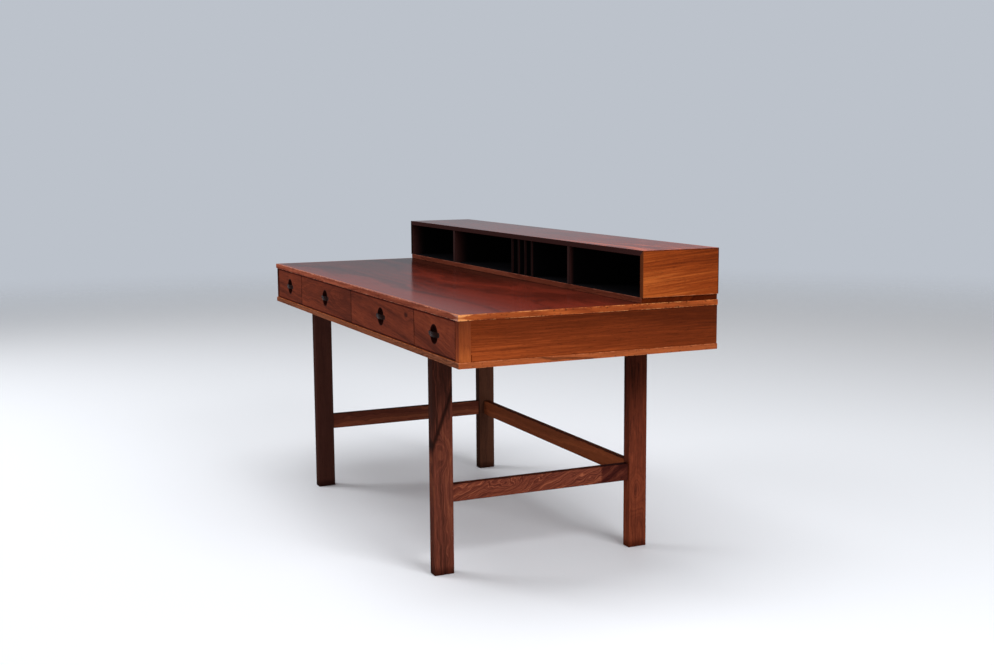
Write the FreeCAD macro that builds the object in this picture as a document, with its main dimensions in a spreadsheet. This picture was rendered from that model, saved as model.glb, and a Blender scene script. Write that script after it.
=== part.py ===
import FreeCAD, Part
import Sketcher
import os

# A flip-top desk for two people to share.
# A shallow case of four drawers stands on a trestle of four legs and three stretchers.
# An open gallery of pigeonholes stands on the rear of the writing surface. It is hinged along the
# desk's rear edge and turns over backwards, so that its base becomes an extension of the surface.
# Units are millimetres. X runs across the desk, the drawers face -Y, and Z is up from the floor.

doc = FreeCAD.newDocument("partners_desk")

# Driving dimensions
DRIVING_SIZES = (
    ("desk_width", 1630, "across the writing surface"),
    ("desk_depth", 728, "front edge to rear edge of the writing surface"),
    ("desk_height", 727, "floor to writing surface"),
    ("case_height", 130, "underside of the case to writing surface"),
    ("edge_thickness", 15, "thickness of the case's top and bottom boards"),
    ("lip_width", 10, "solid lipping round the top and bottom boards"),
    ("reveal", 3, "how far fronts, back and outer ends stand inside the lipping"),
    ("end_thickness", 22, "end panels of the case"),
    ("end_lip_depth", 31, "solid strip on the front of each end panel"),
    ("back_thickness", 14, "back panel of the case"),
    ("partition_offset", 514, "centre of the desk to the centre of an outer partition"),
    ("partition_thickness", 16, "boards between the drawers"),
    ("housing", 5, "depth of the grooves that hold upright boards"),
    ("housing_stop", 8, "how far such a groove stops short of its board's end"),
    ("tongue", 8, "thickness of the tongues on the end panels"),
    ("back_tongue", 5, "thickness of the tongue on the back panel"),
    ("tongue_inset", 1, "inner face of a panel to its tongue"),
    ("arris", 1.6, "rounding of the lipping's outer edges"),
    ("small_arris", 0.8, "rounding of panel edges"),
    ("leg_outer", 536.5, "centre of the desk to the outer face of a leg"),
    ("leg_reach", 321.5, "centre of the desk to the front or rear face of a leg"),
    ("leg_across", 32, "leg section along X"),
    ("leg_deep", 56, "leg section along Y"),
    ("leg_arris", 2.2, "rounding of the legs' edges"),
    ("leg_tenon_across", 16, "stub tenon at the top of a leg, along X"),
    ("leg_tenon_deep", 30, "stub tenon at the top of a leg, along Y"),
    ("leg_tenon_rise", 9, "stub tenon at the top of a leg, along Z"),
    ("leg_screw_radius", 2.5, "shank radius of the screws that hold the legs"),
    ("leg_screw_head", 5, "head radius of those screws"),
    ("leg_screw_sink", 3, "depth of their countersunk heads"),
    ("leg_screw_length", 70, "overall length of those screws"),
    ("leg_screw_spread", 20.5, "leg's centre to each screw, along Y"),
    ("leg_screw_offset", 8, "leg's centre to its screws, along X, clear of the partition above"),
    ("bore_clearance", 0.05, "radial room round a screw or stud in its hole"),
    ("stretcher_bottom", 193.5, "floor to the underside of the stretchers"),
    ("stretcher_height", 48, "stretcher section along Z"),
    ("stretcher_thickness", 20, "stretcher section across"),
    ("stretcher_arris", 1.6, "rounding of the stretchers' long edges"),
    ("tenon_thickness", 10, "stretcher tenons, across"),
    ("tenon_height", 34, "stretcher tenons, along Z"),
    ("tenon_length", 19, "stretcher tenons, along the stretcher"),
    ("front_thickness", 20, "drawer fronts"),
    ("front_gap", 1.2, "room round a drawer front"),
    ("stop_gap", 0.5, "room between a shut front and the partitions behind it"),
    ("drawer_length", 600, "face of a drawer to the rear of its back board"),
    ("drawer_side_height", 84, "drawer sides, along Z"),
    ("drawer_side_raise", 6, "case floor to the lower edge of a drawer side"),
    ("drawer_side_thickness", 13, "drawer sides, along X"),
    ("drawer_back_thickness", 12, "drawer backs, along Y"),
    ("drawer_bottom_thickness", 5, "drawer bottoms, along Z"),
    ("drawer_bottom_raise", 8, "lower edge of a side to the drawer bottom"),
    ("drawer_groove", 5, "depth of the grooves that hold the drawer bottoms"),
    ("side_clearance", 1, "drawer side to the wall beside it"),
    ("runner_width", 7, "how far a runner stands out from its wall"),
    ("runner_height", 14, "runners, along Z"),
    ("runner_length", 572, "runners, along Y"),
    ("runner_setback", 6, "rear face of a drawer front to the runners"),
    ("runner_room", 0.4, "room round a runner in its groove"),
    ("slide_tail_length", 9, "sliding dovetail between a side and its front"),
    ("slide_tail_neck", 5, "narrow width of that dovetail"),
    ("slide_tail_wide", 8, "wide width of that dovetail"),
    ("tail_neck", 12, "narrow width of a dovetail at a drawer's rear corner"),
    ("tail_wide", 16, "wide width of that dovetail"),
    ("cup_radius", 25.5, "outside of the round cup behind a pull"),
    ("cup_depth", 15, "depth of that cup"),
    ("cup_wall", 1.2, "wall of that cup"),
    ("cup_round", 5, "outside rounding at the bottom of that cup"),
    ("pull_length", 73, "pull bars, along X"),
    ("pull_height", 12.4, "pull bars, along Z"),
    ("pull_thickness", 2.4, "pull bars, along Y"),
    ("pull_bow", 5.6, "how far a pull bar's middle stands out of its front"),
    ("pull_tab", 9.5, "flat let-in end of a pull bar, along X"),
    ("pull_end_flat", 0.02, "straight left between the two roundings of a pull's end"),
    ("stud_radius", 2, "studs that hold a pull bar"),
    ("stud_length", 10, "length of those studs"),
    ("stud_offset", 31, "middle of a pull bar to a stud"),
    ("gallery_width", 1634, "across the gallery, end to end"),
    ("gallery_depth", 225.7, "gallery front to gallery rear"),
    ("gallery_rise", 133.5, "writing surface to the top of the gallery"),
    ("gallery_board", 14, "thickness of the gallery's top, ends and main dividers"),
    ("gallery_back_board", 8, "thickness of the gallery's back"),
    ("gallery_arris", 1.2, "rounding of the gallery's edges"),
    ("leaf_thickness", 14.2, "base board of the gallery"),
    ("leaf_recess", 6, "how far the base board stands inside the gallery's ends"),
    ("body_gap", 0.3, "room between the gallery and the desk"),
    ("divider_offset", 413, "centre of the desk to the centre of a main divider"),
    ("divider_housing", 4, "depth of the grooves that hold the dividers"),
    ("slot_board", 8, "thickness of the letter-slot dividers"),
    ("slot_first", 39, "centre of the desk to the first letter-slot divider"),
    ("slot_pitch", 45, "spacing of the letter-slot dividers"),
    ("slot_setback", 2, "gallery front to the letter-slot dividers"),
    ("hinge_offset", 600, "centre of the desk to the centre of an outer hinge"),
    ("hinge_length", 65, "hinges, along X"),
    ("hinge_notch", 3.1, "square notch that the knuckles turn in"),
    ("knuckle_radius", 2.6, "outside of the hinge knuckles"),
    ("knuckle_gap", 0.4, "room between neighbouring knuckles"),
    ("pin_radius", 1.3, "hinge pins"),
    ("pin_grip", 0.02, "radial room of a pin in the fixed knuckles"),
    ("pin_clearance", 0.05, "radial room of a pin in the turning knuckles"),
    ("plate_thickness", 1.4, "hinge leaves"),
    ("plate_height", 10.6, "hinge leaves, from the notch to the far edge"),
    ("plate_sink", 0.15, "how far a hinge leaf lies under the edge it is let into"),
    ("hinge_screw_spread", 23, "middle of a hinge to its outer screws"),
    ("hinge_screw_head", 2.6, "head radius of the hinge screws"),
    ("hinge_screw_radius", 1.3, "shank radius of the hinge screws"),
    ("hinge_screw_sink", 1.2, "depth of their countersunk heads"),
    ("hinge_screw_length", 9, "overall length of the hinge screws"),
    ("screw_slot_width", 0.8, "driver slot in a screw head"),
    ("screw_slot_depth", 0.5, "depth of that slot"),
)

sheet = doc.addObject("Spreadsheet::Sheet", "Size")
for row, (alias, value, meaning) in enumerate(DRIVING_SIZES, start=1):
    sheet.set("A%d" % row, meaning)
    sheet.set("B%d" % row, str(value))
    sheet.setAlias("B%d" % row, alias)
doc.recompute()

# Levels and faces that many pieces share, as expressions of the driving dimensions
HALF_WIDTH = "(Size.desk_width / 2)"
HALF_DEPTH = "(Size.desk_depth / 2)"
CASE_BOTTOM = "(Size.desk_height - Size.case_height)"
BAY_FLOOR = "(Size.desk_height - Size.case_height + Size.edge_thickness)"
BAY_CEILING = "(Size.desk_height - Size.edge_thickness)"
BAY_HEIGHT = "(Size.case_height - 2 * Size.edge_thickness)"
BAY_MIDDLE = "(Size.desk_height - Size.case_height / 2)"
END_OUTER = "(Size.desk_width / 2 - Size.reveal)"
END_INNER = "(Size.desk_width / 2 - Size.reveal - Size.end_thickness)"
FRONT_FACE = "(Size.reveal - Size.desk_depth / 2)"
FRONT_REAR = "(Size.reveal - Size.desk_depth / 2 + Size.front_thickness)"
END_LIP_REAR = "(Size.reveal - Size.desk_depth / 2 + Size.end_lip_depth)"
BACK_INNER = "(Size.desk_depth / 2 - Size.reveal - Size.back_thickness)"
LEG_CENTRE_X = "(Size.leg_outer - Size.leg_across / 2)"
LEG_CENTRE_Y = "(Size.leg_reach - Size.leg_deep / 2)"
TENON_BOTTOM = "(Size.stretcher_bottom + (Size.stretcher_height - Size.tenon_height) / 2)"
HALF_GALLERY = "(Size.gallery_width / 2)"
GALLERY_INNER = "(Size.gallery_width / 2 - Size.gallery_board)"
GALLERY_REAR = "(Size.desk_depth / 2 - Size.body_gap)"
GALLERY_FRONT = "(Size.desk_depth / 2 - Size.body_gap - Size.gallery_depth)"
GALLERY_BACK_INNER = "(Size.desk_depth / 2 - Size.body_gap - Size.gallery_back_board)"
GALLERY_TOP = "(Size.desk_height + Size.gallery_rise)"
GALLERY_CEILING = "(Size.desk_height + Size.gallery_rise - Size.gallery_board)"
LEAF_BOTTOM = "(Size.desk_height + Size.body_gap)"
LEAF_TOP = "(Size.desk_height + Size.body_gap + Size.leaf_thickness)"
GALLERY_INSIDE = "(Size.gallery_rise - Size.gallery_board - Size.body_gap - Size.leaf_thickness)"
HALF_LEAF = "(Size.gallery_width / 2 - Size.leaf_recess)"

# Directions in which round features and wedges are turned
UPRIGHT = FreeCAD.Rotation()
ALONG_X = FreeCAD.Rotation(FreeCAD.Vector(0, 1, 0), 90)
ALONG_Y = FreeCAD.Rotation(FreeCAD.Vector(1, 0, 0), -90)
ALONG_MINUS_Y = FreeCAD.Rotation(FreeCAD.Vector(1, 0, 0), 90)
DOWNWARD = FreeCAD.Rotation(FreeCAD.Vector(1, 0, 0), 180)
ORIGIN = ("0", "0", "0")
TINY = 1e-4

sub_parts = []


# Features that the pieces are made from
def new_body(label):
    """An empty body."""
    body = doc.addObject("PartDesign::Body", label)
    body.Label = label
    return body


def place(feature, corner, rotation=UPRIGHT):
    """Stand a feature at a corner that three expressions give."""
    feature.Placement = FreeCAD.Placement(FreeCAD.Vector(), rotation)
    for axis, expression in zip("xyz", corner):
        feature.setExpression("Placement.Base." + axis, expression)


def block(body, kind, corner, size):
    """A box, Additive or Subtractive, from its low corner and its size along X, Y and Z."""
    feature = body.newObject("PartDesign::%sBox" % kind, "block")
    for name, expression in zip(("Length", "Width", "Height"), size):
        feature.setExpression(name, expression)
    place(feature, corner)
    return feature


def rod(body, kind, start, rotation, radius, length):
    """A cylinder, Additive or Subtractive, from the middle of its first end."""
    feature = body.newObject("PartDesign::%sCylinder" % kind, "rod")
    feature.setExpression("Radius", radius)
    feature.setExpression("Height", length)
    place(feature, start, rotation)
    return feature


def taper(body, kind, start, rotation, radii, length):
    """A cone, Additive or Subtractive, from the middle of its first end."""
    feature = body.newObject("PartDesign::%sCone" % kind, "taper")
    feature.setExpression("Radius1", radii[0])
    feature.setExpression("Radius2", radii[1])
    feature.setExpression("Height", length)
    place(feature, start, rotation)
    return feature


def wedge(body, kind, near, far, depth, rotation=UPRIGHT):
    """A prism, Additive or Subtractive, between two rectangles that lie across its own Y axis.

    A rectangle is the expressions of its low X, high X, low Z and high Z. The depth is the
    expressions of the near and the far rectangle's Y.
    """
    feature = body.newObject("PartDesign::%sWedge" % kind, "wedge")
    names = ("Xmin", "Xmax", "Zmin", "Zmax", "X2min", "X2max", "Z2min", "Z2max", "Ymin", "Ymax")
    for name, expression in zip(names, (*near, *far, *depth)):
        feature.setExpression(name, expression)
    place(feature, ORIGIN, rotation)
    return feature


def soften(body, feature, radius, keep):
    """Round the edges of a feature's solid that pass a test on their own box and the solid's."""
    doc.recompute()
    solid = feature.Shape.BoundBox
    numbered = enumerate(feature.Shape.Edges, start=1)
    names = ["Edge%d" % number for number, edge in numbered if keep(edge.BoundBox, solid)]
    rounding = body.newObject("PartDesign::Fillet", "rounding")
    rounding.Base = (feature, names)
    rounding.setExpression("Radius", radius)
    return rounding


def board(label, corner, size):
    """A body that starts as one plain board."""
    body = new_body(label)
    block(body, "Additive", corner, size)
    return body


def list_piece(body):
    """Count a body as a piece of the desk."""
    sub_parts.append(body)
    return body


def list_group(label, members):
    """Count several like pieces as one node."""
    compound = doc.addObject("Part::Compound", label)
    compound.Label = label
    compound.Links = members
    sub_parts.append(compound)


# Tests that pick edges for rounding
def on_front(edge, solid):
    return abs(edge.YMax - solid.YMin) < TINY


def on_rear(edge, solid):
    return abs(edge.YMin - solid.YMax) < TINY


def on_front_lengthwise(edge, solid):
    return on_front(edge, solid) and edge.ZLength < TINY


def on_front_upright(edge, solid):
    return on_front(edge, solid) and edge.XLength < TINY


def round_cup_floor(edge, solid):
    return abs(solid.YMax - edge.YMin - sheet.cup_wall) < TINY


def pull_corners(edge, solid):
    at_end = abs(edge.XMax - solid.XMin) < TINY or abs(edge.XMin - solid.XMax) < TINY
    return at_end and edge.ZLength < TINY


def along_x(edge, solid):
    return edge.XLength > solid.XLength - TINY


def along_y(edge, solid):
    return edge.YLength > solid.YLength - TINY


def long_or_foot(edge, solid):
    return edge.ZLength > solid.ZLength - TINY or abs(edge.ZMax - solid.ZMin) < TINY


def outer_arrises(side):
    """The two long edges of a lipping strip that face away from the desk's middle."""
    tests = {
        "front": lambda edge, solid: edge.YMax - solid.YMin,
        "rear": lambda edge, solid: solid.YMax - edge.YMin,
        "left": lambda edge, solid: edge.XMax - solid.XMin,
        "right": lambda edge, solid: solid.XMax - edge.XMin,
    }
    return lambda edge, solid: abs(tests[side](edge, solid)) < TINY and edge.ZLength < TINY


# Hinges: three butt hinges whose axis is the desk's top rear edge
HINGE_PLACES = ("-Size.hinge_offset", "0", "Size.hinge_offset")
SCREW_PLACES = ("-Size.hinge_screw_spread", "0", "Size.hinge_screw_spread")
KNUCKLES = 5
FIXED_PLATE_FACE = "(Size.desk_depth / 2 - Size.plate_sink)"
MOVING_PLATE_FACE = "(Size.desk_depth / 2 - Size.body_gap - Size.plate_sink)"
FIXED_PLATE_LOW = "(Size.desk_height - Size.hinge_notch - Size.plate_height)"
MOVING_PLATE_LOW = "(Size.desk_height + Size.hinge_notch)"
LEAF_SIDES = {
    "fixed": (FIXED_PLATE_FACE, FIXED_PLATE_LOW, "(Size.desk_height - Size.hinge_notch)", "pin_grip"),
    "moving": (MOVING_PLATE_FACE, MOVING_PLATE_LOW, "Size.desk_height", "pin_clearance"),
}


def hinge_start(middle):
    return "(%s - Size.hinge_length / 2)" % middle


def screw_starts(side):
    """Where the three screws of each of a side's hinge leaves have the middles of their heads."""
    face, low = LEAF_SIDES[side][:2]
    for middle in HINGE_PLACES:
        for offset in SCREW_PLACES:
            yield "%s + %s" % (middle, offset), face, low + " + Size.plate_height / 2"


def cut_screw_holes(body, starts):
    """Countersunk holes for hinge screws, through whatever lies in their way."""
    head = "Size.hinge_screw_head + Size.bore_clearance"
    shank = "Size.hinge_screw_radius + Size.bore_clearance"
    for start in starts:
        taper(body, "Subtractive", start, ALONG_MINUS_Y, (head, shank), "Size.hinge_screw_sink")
        rod(body, "Subtractive", start, ALONG_MINUS_Y, shank, "Size.hinge_screw_length")


def cut_hinge_seats(body, side, rear, notch_low):
    """Notches for the knuckles and shallow seats for the leaves of a side's three hinges."""
    face, low = LEAF_SIDES[side][:2]
    plate_inner = "%s - Size.plate_thickness" % face
    for middle in HINGE_PLACES:
        start = hinge_start(middle)
        notch_corner = (start + " - Size.body_gap", HALF_DEPTH + " - Size.hinge_notch", notch_low)
        notch_length = "Size.hinge_length + 2 * Size.body_gap"
        block(body, "Subtractive", notch_corner, (notch_length, "Size.hinge_notch", "Size.hinge_notch"))
        seat_depth = "%s - (%s)" % (rear, plate_inner)
        seat_size = ("Size.hinge_length", seat_depth, "Size.plate_height")
        block(body, "Subtractive", (start, plate_inner, low), seat_size)
    cut_screw_holes(body, screw_starts(side))


def hinge_leaf(side, number, middle):
    """One leaf of a hinge: its plate, its share of the knuckles and the bore for the pin."""
    face, low, tab_low, room = LEAF_SIDES[side]
    first = {"fixed": 0, "moving": 1}[side]
    start = hinge_start(middle)
    inner = "%s - Size.plate_thickness" % face
    size = ("Size.hinge_length", "Size.plate_thickness", "Size.plate_height")
    body = board("hinge_leaf_%s_%d" % (side, number), (start, inner, low), size)
    length = "(Size.hinge_length / %d - Size.knuckle_gap)" % KNUCKLES
    for knuckle in range(first, KNUCKLES, 2):
        corner_x = "%s + %d * Size.hinge_length / %d + Size.knuckle_gap / 2" % (start, knuckle, KNUCKLES)
        tab_size = (length, "Size.plate_thickness", "Size.hinge_notch")
        block(body, "Additive", (corner_x, inner, tab_low), tab_size)
        axis_start = (corner_x, HALF_DEPTH, "Size.desk_height")
        rod(body, "Additive", axis_start, ALONG_X, "Size.knuckle_radius", length)
    bore = "Size.pin_radius + Size.%s" % room
    rod(body, "Subtractive", (start, HALF_DEPTH, "Size.desk_height"), ALONG_X, bore, "Size.hinge_length")
    first_screw = number * len(SCREW_PLACES)
    own_screws = list(screw_starts(side))[first_screw:first_screw + len(SCREW_PLACES)]
    cut_screw_holes(body, own_screws)
    return body


def hinge_screw(label, start):
    """A countersunk wood screw with a driver slot, pointing forwards."""
    body = new_body(label)
    rod(body, "Additive", start, ALONG_MINUS_Y, "Size.hinge_screw_radius", "Size.hinge_screw_length")
    radii = ("Size.hinge_screw_head", "Size.hinge_screw_radius")
    taper(body, "Additive", start, ALONG_MINUS_Y, radii, "Size.hinge_screw_sink")
    across, face, height = start
    slot_corner = (
        across + " - Size.hinge_screw_head",
        face + " - Size.screw_slot_depth",
        height + " - Size.screw_slot_width / 2",
    )
    slot_size = ("2 * Size.hinge_screw_head", "Size.screw_slot_depth", "Size.screw_slot_width")
    block(body, "Subtractive", slot_corner, slot_size)
    return body


def build_hinges():
    for side in ("fixed", "moving"):
        leaves = [hinge_leaf(side, number, middle) for number, middle in enumerate(HINGE_PLACES)]
        list_group("hinge_%s_leaves" % side, leaves)
        starts = enumerate(screw_starts(side))
        screws = [hinge_screw("hinge_screw_%s_%d" % (side, number), start) for number, start in starts]
        list_group("hinge_%s_screws" % side, screws)
    pins = []
    for number, middle in enumerate(HINGE_PLACES):
        pin = new_body("hinge_pin_%d" % number)
        start = (hinge_start(middle), HALF_DEPTH, "Size.desk_height")
        rod(pin, "Additive", start, ALONG_X, "Size.pin_radius", "Size.hinge_length")
        pins.append(pin)
    list_group("hinge_pins", pins)


# Uprights inside the case: each stands in a groove in the bottom board and one in the top board
PARTITION_PLACES = ("-Size.partition_offset", "0", "Size.partition_offset")
PARTITION_FRONT = "(%s + Size.stop_gap)" % FRONT_REAR


def partition_tongue(middle):
    corner = (middle + " - Size.partition_thickness / 2", PARTITION_FRONT + " + Size.housing_stop")
    length = "%s - %s - 2 * Size.housing_stop" % (BACK_INNER, PARTITION_FRONT)
    return corner, ("Size.partition_thickness", length)


def end_tongue(side):
    low = {
        "left": "-%s - Size.tongue_inset - Size.tongue" % END_INNER,
        "right": "%s + Size.tongue_inset" % END_INNER,
    }
    return (low[side], END_LIP_REAR), ("Size.tongue", "%s - %s" % (BACK_INNER, END_LIP_REAR))


def back_tongue():
    corner = ("Size.housing_stop - " + END_INNER, BACK_INNER + " + Size.tongue_inset")
    return corner, ("2 * (%s - Size.housing_stop)" % END_INNER, "Size.back_tongue")


def add_tongues(body, tongue):
    """One block that stands out of an upright's lower and upper edges."""
    (low_x, low_y), (long_x, long_y) = tongue
    height = BAY_HEIGHT + " + 2 * Size.housing"
    block(body, "Additive", (low_x, low_y, BAY_FLOOR + " - Size.housing"), (long_x, long_y, height))


def cut_housings(body, low_z):
    """The grooves that take the tongues of every upright."""
    tongues = [partition_tongue(middle) for middle in PARTITION_PLACES]
    tongues += [end_tongue("left"), end_tongue("right"), back_tongue()]
    for (low_x, low_y), (long_x, long_y) in tongues:
        block(body, "Subtractive", (low_x, low_y, low_z), (long_x, long_y, "Size.housing"))


# Legs and stretchers
LEG_PLACES = {
    "front_left": ("-" + LEG_CENTRE_X, "-" + LEG_CENTRE_Y),
    "front_right": (LEG_CENTRE_X, "-" + LEG_CENTRE_Y),
    "rear_left": ("-" + LEG_CENTRE_X, LEG_CENTRE_Y),
    "rear_right": (LEG_CENTRE_X, LEG_CENTRE_Y),
}


def leg_screw_places(name):
    """Where a leg's two screws stand, on its outer half."""
    x, y = LEG_PLACES[name]
    outward = "-" if name.endswith("left") else "+"
    for sign in ("-", "+"):
        yield "%s %s Size.leg_screw_offset" % (x, outward), "%s %s Size.leg_screw_spread" % (y, sign)


def leg_tenon(body, kind, x, y):
    """The stub tenon on a leg's top, or the mortise for it."""
    corner = ("%s - Size.leg_tenon_across / 2" % x, "%s - Size.leg_tenon_deep / 2" % y, CASE_BOTTOM)
    block(body, kind, corner, ("Size.leg_tenon_across", "Size.leg_tenon_deep", "Size.leg_tenon_rise"))


def stretcher_mortise(body, corner_xy, size_xy):
    block(body, "Subtractive", (*corner_xy, TENON_BOTTOM), (*size_xy, "Size.tenon_height"))


def build_leg(name, x, y):
    corner = ("%s - Size.leg_across / 2" % x, "%s - Size.leg_deep / 2" % y, "0")
    leg = board("leg_" + name, corner, ("Size.leg_across", "Size.leg_deep", CASE_BOTTOM))
    soften(leg, leg.Tip, "Size.leg_arris", long_or_foot)
    leg_tenon(leg, "Additive", x, y)
    # The side stretcher enters the face that looks at the other leg of the same end.
    inner_y = {"front": "%s + Size.leg_deep / 2 - Size.tenon_length", "rear": "%s - Size.leg_deep / 2"}
    row, side = name.split("_")
    low_xy = ("%s - Size.tenon_thickness / 2" % x, inner_y[row] % y)
    stretcher_mortise(leg, low_xy, ("Size.tenon_thickness", "Size.tenon_length"))
    if row == "rear":
        # The rear stretcher enters the face that looks at the other rear leg.
        inner_x = {
            "left": "%s + Size.leg_across / 2 - Size.tenon_length",
            "right": "%s - Size.leg_across / 2",
        }
        low_xy = (inner_x[side] % x, "%s - Size.tenon_thickness / 2" % y)
        stretcher_mortise(leg, low_xy, ("Size.tenon_length", "Size.tenon_thickness"))
    for screw_xy in leg_screw_places(name):
        radius = "Size.leg_screw_radius + Size.bore_clearance"
        depth = "Size.leg_screw_length - Size.edge_thickness"
        rod(leg, "Subtractive", (*screw_xy, CASE_BOTTOM), DOWNWARD, radius, depth)
    list_piece(leg)


def build_stretcher(name, corner_xy, size_xy, tenon_xy, tenon_size_xy, edges):
    """A rail with rounded long edges and one block that stands out at both ends as tenons."""
    label = "stretcher_" + name
    corner = (*corner_xy, "Size.stretcher_bottom")
    rail = board(label, corner, (*size_xy, "Size.stretcher_height"))
    soften(rail, rail.Tip, "Size.stretcher_arris", edges)
    block(rail, "Additive", (*tenon_xy, TENON_BOTTOM), (*tenon_size_xy, "Size.tenon_height"))
    list_piece(rail)


def build_trestle():
    for name, (x, y) in LEG_PLACES.items():
        build_leg(name, x, y)
    rail_half = "(%s - Size.leg_deep / 2)" % LEG_CENTRE_Y
    for name, x in (("left", "-" + LEG_CENTRE_X), ("right", LEG_CENTRE_X)):
        build_stretcher(
            name,
            ("%s - Size.stretcher_thickness / 2" % x, "-" + rail_half),
            ("Size.stretcher_thickness", "2 * " + rail_half),
            ("%s - Size.tenon_thickness / 2" % x, "-%s - Size.tenon_length" % rail_half),
            ("Size.tenon_thickness", "2 * (%s + Size.tenon_length)" % rail_half),
            along_y,
        )
    rail_half = "(%s - Size.leg_across / 2)" % LEG_CENTRE_X
    build_stretcher(
        "rear",
        ("-" + rail_half, "%s - Size.stretcher_thickness / 2" % LEG_CENTRE_Y),
        ("2 * " + rail_half, "Size.stretcher_thickness"),
        ("-%s - Size.tenon_length" % rail_half, "%s - Size.tenon_thickness / 2" % LEG_CENTRE_Y),
        ("2 * (%s + Size.tenon_length)" % rail_half, "Size.tenon_thickness"),
        along_x,
    )
    screws = []
    places = [place_xy for name in LEG_PLACES for place_xy in leg_screw_places(name)]
    for number, screw_xy in enumerate(places):
        screw = new_body("leg_screw_%d" % number)
        start = (*screw_xy, BAY_FLOOR)
        rod(screw, "Additive", start, DOWNWARD, "Size.leg_screw_radius", "Size.leg_screw_length")
        radii = ("Size.leg_screw_head", "Size.leg_screw_radius")
        taper(screw, "Additive", start, DOWNWARD, radii, "Size.leg_screw_sink")
        screws.append(screw)
    list_group("leg_screws", screws)


# The case
LIPPED_SIDES = ("front", "right", "rear", "left")


def lipping_strip(label, side, low_z):
    """A strip with mitred ends along one side of the top or bottom board."""
    half_length, distance, turn = {
        "front": (HALF_WIDTH, HALF_DEPTH, 0),
        "right": (HALF_DEPTH, HALF_WIDTH, 90),
        "rear": (HALF_WIDTH, HALF_DEPTH, 180),
        "left": (HALF_DEPTH, HALF_WIDTH, 270),
    }[side]
    strip = new_body(label)
    high_z = low_z + " + Size.edge_thickness"
    inner = "(%s - Size.lip_width)" % half_length
    near = ("-" + half_length, half_length, low_z, high_z)
    far = ("-" + inner, inner, low_z, high_z)
    depth = ("-" + distance, "-%s + Size.lip_width" % distance)
    rotation = FreeCAD.Rotation(FreeCAD.Vector(0, 0, 1), turn)
    wedge(strip, "Additive", near, far, depth, rotation)
    soften(strip, strip.Tip, "Size.arris", outer_arrises(side))
    return strip


def core_board(label, low_z):
    """The board inside a frame of lipping."""
    corner = ("Size.lip_width - " + HALF_WIDTH, "Size.lip_width - " + HALF_DEPTH, low_z)
    width = "Size.desk_width - 2 * Size.lip_width"
    depth = "Size.desk_depth - 2 * Size.lip_width"
    return list_piece(board(label, corner, (width, depth, "Size.edge_thickness")))


def build_top():
    top = core_board("desk_top", BAY_CEILING)
    cut_housings(top, BAY_CEILING)
    strips = [lipping_strip("top_lip_" + side, side, BAY_CEILING) for side in LIPPED_SIDES]
    rear_strip = strips[LIPPED_SIDES.index("rear")]
    cut_hinge_seats(rear_strip, "fixed", HALF_DEPTH, "Size.desk_height - Size.hinge_notch")
    list_group("desk_top_lipping", strips)


def build_bottom():
    bottom = core_board("case_bottom", CASE_BOTTOM)
    cut_housings(bottom, BAY_FLOOR + " - Size.housing")
    shank = "Size.leg_screw_radius + Size.bore_clearance"
    head = "Size.leg_screw_head + Size.bore_clearance"
    for name, (x, y) in LEG_PLACES.items():
        leg_tenon(bottom, "Subtractive", x, y)
        for screw_xy in leg_screw_places(name):
            start = (*screw_xy, BAY_FLOOR)
            rod(bottom, "Subtractive", start, DOWNWARD, shank, "Size.edge_thickness")
            taper(bottom, "Subtractive", start, DOWNWARD, (head, shank), "Size.leg_screw_sink")
    strips = [lipping_strip("bottom_lip_" + side, side, CASE_BOTTOM) for side in LIPPED_SIDES]
    list_group("case_bottom_lipping", strips)


def build_walls():
    lips = []
    for side, low_x in (("left", "-" + END_OUTER), ("right", END_INNER)):
        size = ("Size.end_thickness", "%s - %s" % (HALF_DEPTH, END_LIP_REAR), BAY_HEIGHT)
        end = board("end_panel_" + side, (low_x, END_LIP_REAR, BAY_FLOOR), size)
        add_tongues(end, end_tongue(side))
        list_piece(end)
        size = ("Size.end_thickness", "Size.end_lip_depth", BAY_HEIGHT)
        lip = board("end_lip_" + side, (low_x, FRONT_FACE, BAY_FLOOR), size)
        soften(lip, lip.Tip, "Size.small_arris", on_front)
        lips.append(lip)
    list_group("end_panel_lipping", lips)

    size = ("2 * " + END_INNER, "Size.back_thickness", BAY_HEIGHT)
    back = board("case_back", ("-" + END_INNER, BACK_INNER, BAY_FLOOR), size)
    add_tongues(back, back_tongue())
    list_piece(back)

    partitions = []
    for number, middle in enumerate(PARTITION_PLACES):
        corner = (middle + " - Size.partition_thickness / 2", PARTITION_FRONT, BAY_FLOOR)
        size = ("Size.partition_thickness", "%s - %s" % (BACK_INNER, PARTITION_FRONT), BAY_HEIGHT)
        partition = board("partition_%d" % number, corner, size)
        add_tongues(partition, partition_tongue(middle))
        partitions.append(partition)
    list_group("drawer_partitions", partitions)


# Drawers: each bay is the space between two walls, and its front covers half of a partition's edge
def partition_wall(middle, sign):
    """The X of a partition's face beside a bay, and of the edge of the front that half covers it."""
    wall = "(%s %s Size.partition_thickness / 2)" % (middle, sign)
    return wall, "(%s %s Size.front_gap)" % (middle, sign)


LEFT_WALLS = [("(-%s)" % END_INNER, "(Size.front_gap - %s)" % END_INNER)]
LEFT_WALLS += [partition_wall(middle, "+") for middle in PARTITION_PLACES]
RIGHT_WALLS = [partition_wall(middle, "-") for middle in PARTITION_PLACES]
RIGHT_WALLS += [(END_INNER, "(%s - Size.front_gap)" % END_INNER)]

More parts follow.
